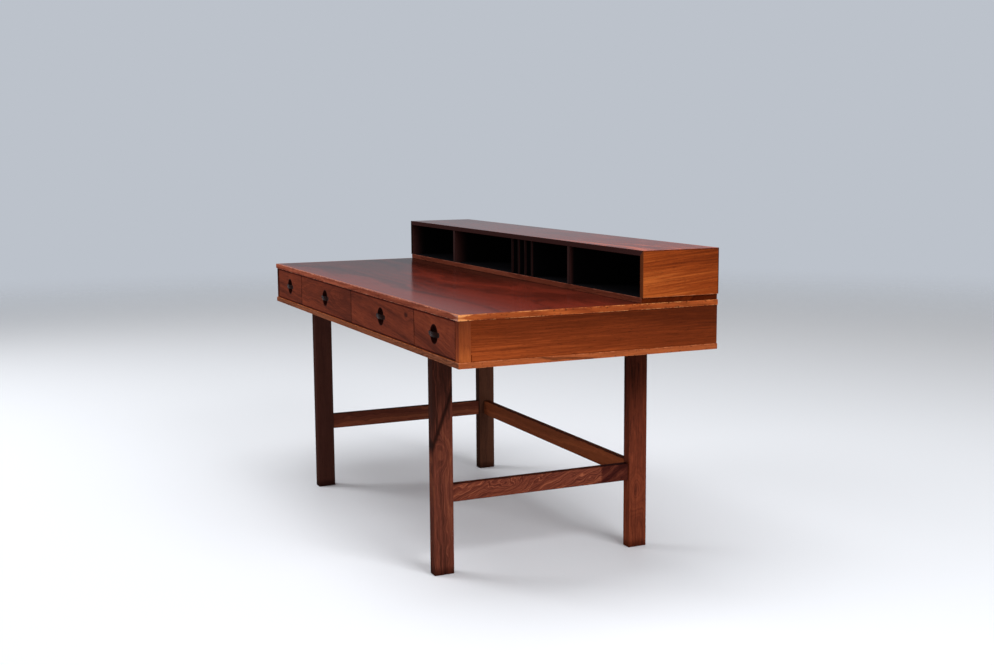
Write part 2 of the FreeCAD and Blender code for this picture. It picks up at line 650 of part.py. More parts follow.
SIDE_BOTTOM = "(%s + Size.drawer_side_raise)" % BAY_FLOOR
SIDE_TOP = "(%s + Size.drawer_side_raise + Size.drawer_side_height)" % BAY_FLOOR
FLOOR_LOW = "(%s + Size.drawer_bottom_raise)" % SIDE_BOTTOM
FLOOR_HIGH = "(%s + Size.drawer_bottom_thickness)" % FLOOR_LOW
BACK_BOARD_HEIGHT = "(%s - %s)" % (SIDE_TOP, FLOOR_HIGH)
DRAWER_REAR = "(%s + Size.drawer_length)" % FRONT_FACE
BACK_BOARD_FRONT = "(%s + Size.drawer_length - Size.drawer_back_thickness)" % FRONT_FACE
RUNNER_FRONT = "(%s + Size.runner_setback)" % FRONT_REAR
RUNNER_LOW = "(%s - Size.runner_height / 2)" % BAY_MIDDLE
TAILS = 3


def side_faces(bay):
    """The outer and inner faces of a drawer's two sides, as expressions of X."""
    left_wall, right_wall = LEFT_WALLS[bay][0], RIGHT_WALLS[bay][0]
    reach = "Size.side_clearance + Size.drawer_side_thickness"
    return {
        "left": ("(%s + Size.side_clearance)" % left_wall, "(%s + %s)" % (left_wall, reach)),
        "right": ("(%s - Size.side_clearance)" % right_wall, "(%s - (%s))" % (right_wall, reach)),
    }


def low_face(faces, side):
    """The face of a drawer side with the lower X."""
    return faces[side][0] if side == "left" else faces[side][1]


def slide_tail(body, kind, faces, side, low_z):
    """The upright dovetail that joins a side to the rear of its front, or the groove for it."""
    middle = "(%s + Size.drawer_side_thickness / 2)" % low_face(faces, side)
    wide = ["%s %s Size.slide_tail_wide / 2" % (middle, sign) for sign in ("-", "+")]
    neck = ["%s %s Size.slide_tail_neck / 2" % (middle, sign) for sign in ("-", "+")]
    depth = (FRONT_REAR + " - Size.slide_tail_length", FRONT_REAR)
    wedge(body, kind, (*wide, low_z, SIDE_TOP), (*neck, low_z, SIDE_TOP), depth)


def rear_tails(body, kind, faces, side):
    """The dovetails that join a side to the drawer's back, or the sockets for them."""
    low_x = low_face(faces, side)
    high_x = low_x + " + Size.drawer_side_thickness"
    for tail in range(TAILS):
        middle = "(%s + %s * %d / %d)" % (FLOOR_HIGH, BACK_BOARD_HEIGHT, 2 * tail + 1, 2 * TAILS)
        neck = ["%s %s Size.tail_neck / 2" % (middle, sign) for sign in ("-", "+")]
        wide = ["%s %s Size.tail_wide / 2" % (middle, sign) for sign in ("-", "+")]
        wedge(body, kind, (low_x, high_x, *neck), (low_x, high_x, *wide), (BACK_BOARD_FRONT, DRAWER_REAR))


def runner_groove(body, faces, side):
    """The groove along the outside of a drawer, open at the rear, that slides on a runner."""
    depth = "(Size.runner_width - Size.side_clearance + Size.runner_room)"
    low_x = faces[side][0] if side == "left" else "%s - %s" % (faces[side][0], depth)
    corner = (low_x, RUNNER_FRONT + " - Size.runner_room", RUNNER_LOW + " - Size.runner_room")
    length = "%s - %s + Size.runner_room" % (DRAWER_REAR, RUNNER_FRONT)
    block(body, "Subtractive", corner, (depth, length, "Size.runner_height + 2 * Size.runner_room"))


def build_drawer_side(name, faces, side):
    low_x = low_face(faces, side)
    length = "%s - %s" % (BACK_BOARD_FRONT, FRONT_REAR)
    size = ("Size.drawer_side_thickness", length, "Size.drawer_side_height")
    body = board("%s_side_%s" % (name, side), (low_x, FRONT_REAR, SIDE_BOTTOM), size)
    slide_tail(body, "Additive", faces, side, SIDE_BOTTOM)
    heel_height = "%s - %s" % (FLOOR_HIGH, SIDE_BOTTOM)
    heel = ("Size.drawer_side_thickness", "Size.drawer_back_thickness", heel_height)
    block(body, "Additive", (low_x, BACK_BOARD_FRONT, SIDE_BOTTOM), heel)
    rear_tails(body, "Additive", faces, side)
    runner_groove(body, faces, side)
    inner = faces[side][1] if side == "right" else "%s - Size.drawer_groove" % faces[side][1]
    groove_length = "%s - %s" % (DRAWER_REAR, FRONT_REAR)
    groove = ("Size.drawer_groove", groove_length, "Size.drawer_bottom_thickness")
    block(body, "Subtractive", (inner, FRONT_REAR, FLOOR_LOW), groove)
    list_piece(body)


def build_drawer_back(name, faces):
    width = "%s - %s" % (faces["right"][0], faces["left"][0])
    size = (width, "Size.drawer_back_thickness", BACK_BOARD_HEIGHT)
    back = board(name + "_back", (faces["left"][0], BACK_BOARD_FRONT, FLOOR_HIGH), size)
    for side in ("left", "right"):
        rear_tails(back, "Subtractive", faces, side)
        runner_groove(back, faces, side)
    list_piece(back)


def build_drawer_bottom(name, faces):
    """A thin board in the sides' grooves, with a narrower tongue in the front's groove."""
    inside = "(%s - %s)" % (faces["right"][1], faces["left"][1])
    corner = (faces["left"][1] + " - Size.drawer_groove", FRONT_REAR, FLOOR_LOW)
    length = "%s - %s" % (DRAWER_REAR, FRONT_REAR)
    size = (inside + " + 2 * Size.drawer_groove", length, "Size.drawer_bottom_thickness")
    bottom = board(name + "_bottom", corner, size)
    corner = (faces["left"][1], FRONT_REAR + " - Size.drawer_groove", FLOOR_LOW)
    block(bottom, "Additive", corner, (inside, "Size.drawer_groove", "Size.drawer_bottom_thickness"))
    list_piece(bottom)


def build_drawer_front(name, bay, faces, middle):
    left, right = LEFT_WALLS[bay][1], RIGHT_WALLS[bay][1]
    height = BAY_HEIGHT + " - 2 * Size.front_gap"
    corner = (left, FRONT_FACE, BAY_FLOOR + " + Size.front_gap")
    front = board(name + "_front", corner, ("%s - %s" % (right, left), "Size.front_thickness", height))
    soften(front, front.Tip, "Size.small_arris", on_front)
    for side in ("left", "right"):
        slide_tail(front, "Subtractive", faces, side, BAY_FLOOR)
    inside = "%s - %s" % (faces["right"][1], faces["left"][1])
    groove_corner = (faces["left"][1], FRONT_REAR + " - Size.drawer_groove", FLOOR_LOW)
    groove_size = (inside, "Size.drawer_groove", "Size.drawer_bottom_thickness")
    block(front, "Subtractive", groove_corner, groove_size)
    pull_middle = (middle, FRONT_FACE, BAY_MIDDLE)
    rod(front, "Subtractive", pull_middle, ALONG_Y, "Size.cup_radius", "Size.cup_depth")
    # The pull bar's ends lie in a shallow seat with round ends, on two studs.
    straight = "(Size.pull_length - Size.pull_height)"
    seat_radius = "(Size.pull_height / 2 + Size.bore_clearance)"
    seat_corner = ("%s - %s / 2" % (middle, straight), FRONT_FACE, "%s - %s" % (BAY_MIDDLE, seat_radius))
    block(front, "Subtractive", seat_corner, (straight, "Size.pull_thickness", "2 * " + seat_radius))
    for sign in ("-", "+"):
        end = ("%s %s %s / 2" % (middle, sign, straight), FRONT_FACE, BAY_MIDDLE)
        rod(front, "Subtractive", end, ALONG_Y, seat_radius, "Size.pull_thickness")
        stud = ("%s %s Size.stud_offset" % (middle, sign), FRONT_FACE, BAY_MIDDLE)
        radius = "Size.stud_radius + Size.bore_clearance"
        rod(front, "Subtractive", stud, ALONG_Y, radius, "Size.pull_thickness + Size.stud_length")
    list_piece(front)


def build_pull_cup(name, middle):
    """A shallow round cup, flush with the drawer's face, notched where the bar crosses its rim."""
    cup = new_body(name + "_pull_cup")
    start = (middle, FRONT_FACE, BAY_MIDDLE)
    rod(cup, "Additive", start, ALONG_Y, "Size.cup_radius", "Size.cup_depth")
    inner_radius = "Size.cup_radius - Size.cup_wall"
    rod(cup, "Subtractive", start, ALONG_Y, inner_radius, "Size.cup_depth - Size.cup_wall")
    soften(cup, cup.Tip, "Size.cup_round - Size.cup_wall", round_cup_floor)
    soften(cup, cup.Tip, "Size.cup_round", on_rear)
    notch = (middle + " - Size.cup_radius", FRONT_FACE, BAY_MIDDLE + " - Size.pull_height / 2")
    block(cup, "Subtractive", notch, ("2 * Size.cup_radius", "Size.pull_thickness", "Size.pull_height"))
    list_piece(cup)


def draw_pull_plan(plan):
    """A bar seen from above: flat ends on the drawer's face, and between them a bow that stands out."""
    end = sheet.pull_length / 2
    bend = end - sheet.pull_tab
    thick = sheet.pull_thickness
    bow = sheet.pull_bow
    point = FreeCAD.Vector
    plan.addGeometry(Part.LineSegment(point(-end, 0), point(-bend, 0)))
    plan.addGeometry(Part.Arc(point(-bend, 0), point(0, -bow), point(bend, 0)))
    plan.addGeometry(Part.LineSegment(point(bend, 0), point(end, 0)))
    plan.addGeometry(Part.LineSegment(point(end, 0), point(end, thick)))
    plan.addGeometry(Part.LineSegment(point(end, thick), point(bend, thick)))
    plan.addGeometry(Part.Arc(point(-bend, thick), point(0, thick - bow), point(bend, thick)))
    plan.addGeometry(Part.LineSegment(point(-bend, thick), point(-end, thick)))
    plan.addGeometry(Part.LineSegment(point(-end, thick), point(-end, 0)))
    outer_left, outer_bow, outer_right, right, inner_right, inner_bow, inner_left, left = range(8)
    start, finish, origin, x_axis = 1, 2, (-1, 1), -1
    joins = (
        (outer_left, finish, outer_bow, start), (outer_bow, finish, outer_right, start),
        (outer_right, finish, right, start), (right, finish, inner_right, start),
        (inner_right, finish, inner_bow, finish), (inner_bow, start, inner_left, start),
        (inner_left, finish, left, start), (left, finish, outer_left, start),
    )
    for join in joins:
        plan.addConstraint(Sketcher.Constraint("Coincident", *join))
    for flat in (outer_left, outer_right, inner_right, inner_left):
        plan.addConstraint(Sketcher.Constraint("Horizontal", flat))
    for upright in (right, left):
        plan.addConstraint(Sketcher.Constraint("Vertical", upright))
    for flat in (outer_left, outer_right):
        plan.addConstraint(Sketcher.Constraint("PointOnObject", flat, start, x_axis))
    chord = "(Size.pull_length - 2 * Size.pull_tab)"
    bow_radius = "(%s * %s / 4 + Size.pull_bow * Size.pull_bow) / (2 * Size.pull_bow)" % (chord, chord)
    radius = (bend * bend + bow * bow) / (2 * bow)
    measures = (
        ("DistanceX", (outer_left, start, *origin, end), "Size.pull_length / 2"),
        ("DistanceX", (*origin, outer_right, finish, end), "Size.pull_length / 2"),
        ("DistanceX", (outer_left, start, outer_left, finish, sheet.pull_tab), "Size.pull_tab"),
        ("DistanceX", (outer_right, start, outer_right, finish, sheet.pull_tab), "Size.pull_tab"),
        ("DistanceX", (inner_right, finish, inner_right, start, sheet.pull_tab), "Size.pull_tab"),
        ("DistanceX", (inner_left, finish, inner_left, start, sheet.pull_tab), "Size.pull_tab"),
        ("DistanceY", (right, start, right, finish, thick), "Size.pull_thickness"),
        ("DistanceY", (left, finish, left, start, thick), "Size.pull_thickness"),
        ("Radius", (outer_bow, radius), bow_radius),
        ("Radius", (inner_bow, radius), bow_radius),
    )
    for kind, values, expression in measures:
        number = plan.addConstraint(Sketcher.Constraint(kind, *values))
        plan.setExpression("Constraints[%d]" % number, expression)


def build_pull_bar(name, middle):
    """A bowed flat bar with round ends that is held by two studs."""
    bar = new_body(name + "_pull_bar")
    place(bar, (middle, FRONT_FACE, BAY_MIDDLE + " - Size.pull_height / 2"))
    plan = bar.newObject("Sketcher::SketchObject", "pull_plan")
    ground = [plane for plane in bar.Origin.OriginFeatures if plane.Role == "XY_Plane"][0]
    plan.AttachmentSupport = (ground, "")
    plan.MapMode = "FlatFace"
    draw_pull_plan(plan)
    strip = bar.newObject("PartDesign::Pad", "pull_strip")
    strip.Profile = plan
    strip.setExpression("Length", "Size.pull_height")
    soften(bar, strip, "(Size.pull_height - Size.pull_end_flat) / 2", pull_corners)
    for sign in ("-", ""):
        start = (sign + "Size.stud_offset", "Size.pull_thickness", "Size.pull_height / 2")
        rod(bar, "Additive", start, ALONG_Y, "Size.stud_radius", "Size.stud_length")
    list_piece(bar)


def build_drawers():
    runners = []
    for bay in range(len(LEFT_WALLS)):
        name = "drawer_%d" % (bay + 1)
        left_wall, front_left = LEFT_WALLS[bay]
        right_wall, front_right = RIGHT_WALLS[bay]
        faces = side_faces(bay)
        middle = "((%s + %s) / 2)" % (front_left, front_right)
        build_drawer_front(name, bay, faces, middle)
        for side in ("left", "right"):
            build_drawer_side(name, faces, side)
        build_drawer_back(name, faces)
        build_drawer_bottom(name, faces)
        build_pull_cup(name, middle)
        build_pull_bar(name, middle)
        for side, low_x in (("left", left_wall), ("right", right_wall + " - Size.runner_width")):
            size = ("Size.runner_width", "Size.runner_length", "Size.runner_height")
            corner = (low_x, RUNNER_FRONT, RUNNER_LOW)
            runners.append(board("runner_%d_%s" % (bay + 1, side), corner, size))
    list_group("drawer_runners", runners)


# The gallery: each divider is its name, the X of its middle, its thickness and its front's setback
SLOT_DIVIDERS = 4
DIVIDERS = [
    ("gallery_divider_left", "-Size.divider_offset", "Size.gallery_board", "0"),
    ("gallery_divider_right", "Size.divider_offset", "Size.gallery_board", "0"),
]
for slot in range(SLOT_DIVIDERS):
    slot_middle = "(Size.slot_first + %d * Size.slot_pitch)" % slot
    slot_name = "gallery_slot_divider_%d" % slot
    DIVIDERS.append((slot_name, slot_middle, "Size.slot_board", "Size.slot_setback"))


def divider_tongue(middle, thickness):
    """The low corner and the size, along X and Y, of the part of a divider that stands in grooves."""
    corner = ("%s - %s / 2" % (middle, thickness), GALLERY_FRONT + " + Size.housing_stop")
    length = "%s - %s - Size.housing_stop" % (GALLERY_BACK_INNER, GALLERY_FRONT)
    return corner, (thickness, length)


def cut_divider_grooves(body, low_z):
    for _, middle, thickness, _ in DIVIDERS:
        corner, size = divider_tongue(middle, thickness)
        block(body, "Subtractive", (*corner, low_z), (*size, "Size.divider_housing"))


def ease_mitre(body, side):
    """A small flat along the outer edge where the gallery's top meets an end."""
    flat = body.newObject("PartDesign::SubtractiveBox", "mitre_flat")
    flat.setExpression("Length", "4 * Size.gallery_arris")
    flat.setExpression("Width", "Size.gallery_depth")
    flat.setExpression("Height", "2 * Size.gallery_arris")
    # The cutting box starts outside the edge, so that it passes right across it.
    if side == "left":
        turn = -45
        low_x = "-%s - Size.gallery_arris" % HALF_GALLERY
        low_z = GALLERY_TOP + " - 2 * Size.gallery_arris"
    else:
        turn = 45
        low_x = HALF_GALLERY + " - 2 * Size.gallery_arris"
        low_z = GALLERY_TOP + " + Size.gallery_arris"
    place(flat, (low_x, GALLERY_FRONT, low_z), FreeCAD.Rotation(FreeCAD.Vector(0, 1, 0), turn))


def build_gallery():
    corner = ("-" + HALF_LEAF, GALLERY_FRONT, LEAF_BOTTOM)
    size = ("2 * " + HALF_LEAF, "Size.gallery_depth", "Size.leaf_thickness")
    leaf = board("gallery_leaf", corner, size)
    soften(leaf, leaf.Tip, "Size.gallery_arris", on_front)
    cut_divider_grooves(leaf, LEAF_TOP + " - Size.divider_housing")
    cut_hinge_seats(leaf, "moving", GALLERY_REAR, "Size.desk_height")
    list_piece(leaf)

    top = new_body("gallery_top")
    depth_range = ("-" + GALLERY_REAR, "-" + GALLERY_FRONT)
    near = ("-" + GALLERY_INNER, GALLERY_INNER, *depth_range)
    far = ("-" + HALF_GALLERY, HALF_GALLERY, *depth_range)
    wedge(top, "Additive", near, far, (GALLERY_CEILING, GALLERY_TOP), ALONG_MINUS_Y)
    soften(top, top.Tip, "Size.gallery_arris", on_front_lengthwise)
    cut_divider_grooves(top, GALLERY_CEILING)
    for side in ("left", "right"):
        ease_mitre(top, side)
    list_piece(top)

    sides = {"left": (90, (GALLERY_FRONT, GALLERY_REAR)), "right": (-90, depth_range)}
    for side, (turn, own_range) in sides.items():
        end = new_body("gallery_end_" + side)
        near = (*own_range, LEAF_TOP, GALLERY_CEILING)
        far = (*own_range, LEAF_TOP, GALLERY_TOP)
        rotation = FreeCAD.Rotation(FreeCAD.Vector(0, 0, 1), turn)
        wedge(end, "Additive", near, far, (GALLERY_INNER, HALF_GALLERY), rotation)
        soften(end, end.Tip, "Size.gallery_arris", on_front_upright)
        ease_mitre(end, side)
        list_piece(end)

    corner = ("-" + GALLERY_INNER, GALLERY_BACK_INNER, LEAF_TOP)
    size = ("2 * " + GALLERY_INNER, "Size.gallery_back_board", GALLERY_INSIDE)
    list_piece(board("gallery_back", corner, size))

    slot_dividers = []
    for label, middle, thickness, setback in DIVIDERS:
        front = "(%s + %s)" % (GALLERY_FRONT, setback)
        size = (thickness, "%s - %s" % (GALLERY_BACK_INNER, front), GALLERY_INSIDE)
        divider = board(label, ("%s - %s / 2" % (middle, thickness), front, LEAF_TOP), size)
        soften(divider, divider.Tip, "Size.small_arris", on_front_upright)
        corner, tongue_size = divider_tongue(middle, thickness)
        height = GALLERY_INSIDE + " + 2 * Size.divider_housing"
        block(divider, "Additive", (*corner, LEAF_TOP + " - Size.divider_housing"), (*tongue_size, height))
        if "slot" in label:
            slot_dividers.append(divider)
        else:
            list_piece(divider)
    list_group("gallery_slot_dividers", slot_dividers)


build_trestle()
build_top()
build_bottom()
build_walls()
build_drawers()
build_gallery()
build_hinges()
doc.recompute()

# Every object has to be sound before anything is written.
failed = [item.Label for item in doc.Objects if "Invalid" in item.State or "Error" in item.State]
if failed:
    raise RuntimeError("these objects failed: " + ", ".join(failed))
for piece in sub_parts:
    if piece.Shape.isNull() or not piece.Shape.isValid():
        raise RuntimeError("this piece has no sound shape: " + piece.Label)

os.makedirs("parts", exist_ok=True)
for piece in sub_parts:
    piece.Shape.exportStep("parts/%s.step" % piece.Label)
    print("%-26s %2d solids %12.1f mm3" % (piece.Label, len(piece.Shape.Solids), piece.Shape.Volume))
print("%d pieces" % len(sub_parts))
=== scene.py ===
# %% [markdown]
# # A rosewood partners desk
# The desk's construction comes packed from a CAD model: every board, leg, drawer, pull and hinge is
# already there at its real size. What is missing is everything that makes it look like rosewood that
# has been polished and used for decades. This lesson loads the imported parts, sets up the camera and a
# plain studio, and then finishes the parts one kind after the other.

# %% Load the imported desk
import math

import bmesh
import bpy
from mathutils import Matrix, Vector


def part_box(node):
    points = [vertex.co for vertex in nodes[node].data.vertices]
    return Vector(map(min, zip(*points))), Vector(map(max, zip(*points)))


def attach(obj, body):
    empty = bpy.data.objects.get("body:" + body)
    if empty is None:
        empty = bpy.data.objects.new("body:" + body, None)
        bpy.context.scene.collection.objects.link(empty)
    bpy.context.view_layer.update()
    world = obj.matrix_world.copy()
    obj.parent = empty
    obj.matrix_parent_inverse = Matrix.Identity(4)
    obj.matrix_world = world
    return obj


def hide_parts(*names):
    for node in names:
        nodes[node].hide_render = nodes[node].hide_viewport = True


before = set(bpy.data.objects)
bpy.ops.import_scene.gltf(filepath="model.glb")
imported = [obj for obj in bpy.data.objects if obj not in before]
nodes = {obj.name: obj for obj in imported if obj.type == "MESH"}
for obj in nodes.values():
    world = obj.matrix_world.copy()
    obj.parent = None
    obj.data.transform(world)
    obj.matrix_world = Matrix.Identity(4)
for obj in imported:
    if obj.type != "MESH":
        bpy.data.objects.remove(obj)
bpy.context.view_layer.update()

scene = bpy.context.scene
bpy.ops.object.select_all(action="DESELECT")

# %% [markdown]
# ## The camera
# A photograph fixes where its camera stood. The corners of the desk give the direction, the height and
# the distance, and the spread between near and far corners gives the focal length. The camera is turned
# in three steps, as on a tripod: round its post, down towards the desk, and a hair about its own axis,
# because the photograph isn't quite level.

# %% Place the camera
IMAGE_WIDTH = 994
SENSOR_WIDTH = 36.0
FOCAL_PIXELS = 1323.4
CAMERA_PLACE = Vector((3.6736, -1.5592, 1.1138))
CAMERA_AZIMUTH = math.radians(65.611)
CAMERA_TILT = math.radians(7.873)
CAMERA_ROLL = math.radians(-0.399)

bpy.ops.object.camera_add()
camera = bpy.context.object
camera.name = "camera"
camera.data.sensor_fit = "HORIZONTAL"
camera.data.sensor_width = SENSOR_WIDTH
camera.data.lens = FOCAL_PIXELS / IMAGE_WIDTH * SENSOR_WIDTH
camera.matrix_world = (
    Matrix.Translation(CAMERA_PLACE)
    @ Matrix.Rotation(CAMERA_AZIMUTH, 4, "Z")
    @ Matrix.Rotation(math.pi / 2 - CAMERA_TILT, 4, "X")
    @ Matrix.Rotation(CAMERA_ROLL, 4, "Z")
)
scene.camera = camera
print("lens:", round(camera.data.lens, 2), "mm")


# %% [markdown]
# ## Colours and the studio
# Colours are written as a picture editor shows them, from 0 to 255, and turned into the linear values
# that shaders expect. The studio is a pale floor, an even grey-blue surround, and large soft lamps, so
# that a colour renders about as it is written. The grey-blue matters: polished wood that is seen at a
# low angle mirrors it, and that mirror image is the mauve bloom on the desk's top. The floor fades out
# far from the desk, so that no horizon shows.

# %% Write colours as a picture editor does
def shade(red, green, blue):
    """A colour from 0 to 255 in each channel, as linear red, green, blue and alpha."""
    linear = []
    for channel in (red, green, blue):
        value = channel / 255
        linear.append(value / 12.92 if value <= 0.04045 else ((value + 0.055) / 1.055) ** 2.4)
    return (*linear, 1.0)


scene.view_settings.view_transform = "Standard"
print("mid grey is", [round(value, 3) for value in shade(128, 128, 128)[:3]])

# %% Lay the floor
FLOOR_SIZE = 60
FLOOR_COLOUR = shade(243, 246, 252)
FLOOR_ROUGHNESS = 0.55
FLOOR_SHINE = 0.12
FADE_START = 4.0
FADE_END = 9.0

bpy.ops.mesh.primitive_plane_add(size=FLOOR_SIZE, location=(0, 0, 0))
floor = bpy.context.object
floor.name = "floor"
floor_finish = bpy.data.materials.new("floor_paint")
floor_finish.use_nodes = True
floor_shader = floor_finish.node_tree.nodes["Principled BSDF"]
floor_shader.inputs["Base Color"].default_value = FLOOR_COLOUR
floor_shader.inputs["Roughness"].default_value = FLOOR_ROUGHNESS
floor_shader.inputs["Specular IOR Level"].default_value = FLOOR_SHINE
floor.data.materials.append(floor_finish)
floor_tree = floor_finish.node_tree
floor_place = floor_tree.nodes.new("ShaderNodeTexCoord").outputs["Object"]
from_middle = floor_tree.nodes.new("ShaderNodeVectorMath")
from_middle.operation = "LENGTH"
floor_tree.links.new(floor_place, from_middle.inputs[0])
fade = floor_tree.nodes.new("ShaderNodeMapRange")
fade.interpolation_type = "SMOOTHSTEP"
fade.inputs["From Min"].default_value = FADE_END
fade.inputs["From Max"].default_value = FADE_START
floor_tree.links.new(from_middle.outputs["Value"], fade.inputs["Value"])
floor_tree.links.new(fade.outputs["Result"], floor_shader.inputs["Alpha"])
print("floor:", FLOOR_SIZE, "m wide, gone at", FADE_END, "m")

# %% Surround the desk
SURROUND_COLOUR = shade(188, 194, 203)
FILL_COLOUR = shade(152, 151, 149)

world = bpy.data.worlds.new("studio")
world.use_nodes = True
world_tree = world.node_tree
fill = world_tree.nodes["Background"]
fill.inputs["Color"].default_value = FILL_COLOUR
backdrop = world_tree.nodes.new("ShaderNodeBackground")
backdrop.inputs["Color"].default_value = SURROUND_COLOUR
rays = world_tree.nodes.new("ShaderNodeLightPath").outputs
seen = rays["Is Camera Ray"]
for ray in ("Is Glossy Ray", "Is Transmission Ray"):
    either = world_tree.nodes.new("ShaderNodeMath")
    either.operation = "MAXIMUM"
    world_tree.links.new(seen, either.inputs[0])
    world_tree.links.new(rays[ray], either.inputs[1])
    seen = either.outputs["Value"]
choice = world_tree.nodes.new("ShaderNodeMixShader")
world_tree.links.new(seen, choice.inputs["Fac"])
world_tree.links.new(fill.outputs["Background"], choice.inputs[1])
world_tree.links.new(backdrop.outputs["Background"], choice.inputs[2])
world_tree.links.new(choice.outputs["Shader"], world_tree.nodes["World Output"].inputs["Surface"])
scene.world = world
print("surround:", len(world_tree.nodes), "nodes")


# %% Hang the lamps
def soft_lamp(name, place, target, size, power):
    """A square lamp that faces a point."""
    bpy.ops.object.light_add(type="AREA", location=place)
    lamp = bpy.context.object
    lamp.name = name
    lamp.data.shape = "SQUARE"
    lamp.data.size = size
    lamp.data.energy = power
    direction = Vector(target) - Vector(place)
    lamp.rotation_euler = direction.to_track_quat("-Z", "Y").to_euler()


DESK_MIDDLE = (0, 0, 0.6)
soft_lamp("lamp_overhead", (0.2, -0.6, 5.2), DESK_MIDDLE, size=3.6, power=126)
soft_lamp("lamp_right", (4.0, 0.8, 2.9), DESK_MIDDLE, size=2.0, power=108)
soft_lamp("lamp_front", (-3.0, -3.5, 3.0), DESK_MIDDLE, size=2.4, power=105)


# %% [markdown]
# ## Small helpers for node trees
# Shader node trees are plain graphs. A few short helpers keep them readable in code: they add a node and
# plug its sockets, do arithmetic on numbers and vectors, stretch a range, mix colours, make noise, and
# start a node group. A value that is a socket becomes a link, and anything else becomes the socket's own
# value.

# %% Helpers for nodes
def plug(tree, socket, value):
    """Link a socket to another socket, or set its own value."""
    if isinstance(value, bpy.types.NodeSocket):
        tree.links.new(value, socket)
    else:
        socket.default_value = value


def add_node(tree, kind, settings=None, **inputs):
    """Add a node, set its options, and plug its named inputs."""
    node = tree.nodes.new(kind)
    for name, value in (settings or {}).items():
        setattr(node, name, value)
    for name, value in inputs.items():
        plug(tree, node.inputs[name.replace("_", " ")], value)
    return node


def number(tree, operation, *values):
    """One step of arithmetic on numbers."""
    node = add_node(tree, "ShaderNodeMath", {"operation": operation})
    for socket, value in zip(node.inputs, values):
        plug(tree, socket, value)
    return node.outputs["Value"]


def vector(tree, operation, *values):
    """One step of arithmetic on vectors. The length of a vector comes out as a number."""
    node = add_node(tree, "ShaderNodeVectorMath", {"operation": operation})
    sockets = [node.inputs[0], node.inputs[3]] if operation == "SCALE" else node.inputs
    for socket, value in zip(sockets, values):
        plug(tree, socket, value)
    return node.outputs["Value" if operation in ("LENGTH", "DOT_PRODUCT") else "Vector"]


def span(tree, value, low, high, to_low=0.0, to_high=1.0):
    """Stretch the range from low to high over a new range, smoothly and without passing its ends."""
    node = add_node(tree, "ShaderNodeMapRange", {"interpolation_type": "SMOOTHSTEP"})
    entries = {"Value": value, "From Min": low, "From Max": high, "To Min": to_low, "To Max": to_high}
    for name, entry in entries.items():
        plug(tree, node.inputs[name], entry)
    return node.outputs["Result"]


def mix(tree, factor, first, second, blend="MIX"):
    """Mix two colours."""
    node = add_node(tree, "ShaderNodeMix", {"data_type": "RGBA", "blend_type": blend})
    plug(tree, node.inputs["Factor"], factor)
    plug(tree, node.inputs[6], first)
    plug(tree, node.inputs[7], second)
    return node.outputs[2]


def noise(tree, place, detail, stretch=(1, 1, 1), roughness=0.5):
    """Cloudy noise over a place, stretched by a number of lumps to the metre along each axis."""
    stretched = vector(tree, "MULTIPLY", place, stretch)
    return add_node(tree, "ShaderNodeTexNoise", Vector=stretched, Scale=1.0, Detail=detail,
                    Roughness=roughness)


def noise_along(tree, position, detail, roughness=0.5):
    """Cloudy noise along a line, for things that come one after the other, such as growth rings."""
    settings = {"noise_dimensions": "1D"}
    node = add_node(tree, "ShaderNodeTexNoise", settings, W=position, Scale=1.0, Detail=detail,
                    Roughness=roughness)
    return node.outputs["Fac"]


def new_group(name, inputs, outputs):
    """An empty shader node group, with the sockets inside it to build between."""
    group = bpy.data.node_groups.new(name, "ShaderNodeTree")
    for direction, entries in (("INPUT", inputs), ("OUTPUT", outputs)):
        for label, kind, value in entries:
            socket = group.interface.new_socket(label, in_out=direction, socket_type="NodeSocket" + kind)
            if value is not None:
                socket.default_value = value
    start = group.nodes.new("NodeGroupInput")
    finish = group.nodes.new("NodeGroupOutput")
    return group, start.outputs, finish.inputs


print("helpers ready")


# %% [markdown]
# ## The figure of rosewood
# Rosewood's figure is a section through the tree. Growth rings are rough cylinders round a heart that
# wanders as the trunk grows, so a board that is cut along the trunk shows long nested arches, and its
# ends show arcs. A picture of grain can't do that on all six faces. Instead the group measures each
# point's distance from a wandering heart and reads the ring colours off that distance: broad bands,
# single rings, even stripes, and the thin ink-black lines that are rosewood's own. How much the single
# rings show, and how ragged they are, can be set. Streaks and pores are long and short dashes along the
# grain. A knot pushes the rings apart round it, and a dark vein crosses them, with darker wood beyond it.
# A slant shears the whole figure, so that the grain crosses the board at an angle, and curls, the tight
# eddies of wood near a root or a fork, break the rings into squiggles. A board can be lifted to a paler
# tone, or lean from darker on one side to paler on the other: darker heartwood on some boards, and
# painted shade on others.

# %% Name the settings of the rosewood group
figure, given, result = new_group(
    "rosewood_figure",
    (
        ("Position", "Vector", None),
        ("Heart", "Vector", (0, 0.08, 0)),
        ("Slant", "Vector", (0, 0, 0)),
        ("Seed", "Float", 0),
        ("Ring", "Float", 0.006),
        ("Swirl", "Float", 0.08),
        ("Curl", "Float", 0),
        ("Ink", "Float", 0.7),
        ("Contrast", "Float", 1),
        ("Fine", "Float", 1),
        ("Ragged", "Float", 0.5),
        ("Stripe", "Float", 0),
        ("Streak", "Float", 0),
        ("Streak Length", "Float", 0.083),
        ("Lift", "Float", 0),
        ("Lean", "Vector", (0, 0, 0)),
        ("Pale", "Color", shade(150, 80, 45)),
        ("Main", "Color", shade(110, 50, 28)),
        ("Dark", "Color", shade(60, 22, 14)),
        ("Line", "Color", shade(24, 11, 9)),
        ("Knot Place", "Vector", (0, 0, 0)),
        ("Knot Size", "Float", 0.0005),
        ("Knot Core", "Float", 0.9),
        ("Vein Place", "Vector", (0, 0, 9)),
        ("Vein Turn", "Vector", (0, 0, 1)),
        ("Vein Width", "Float", 0.001),
        ("Vein Step", "Float", 0),
    ),
    (("Color", "Color", None), ("Gloss", "Float", None), ("Height", "Float", None)),
)
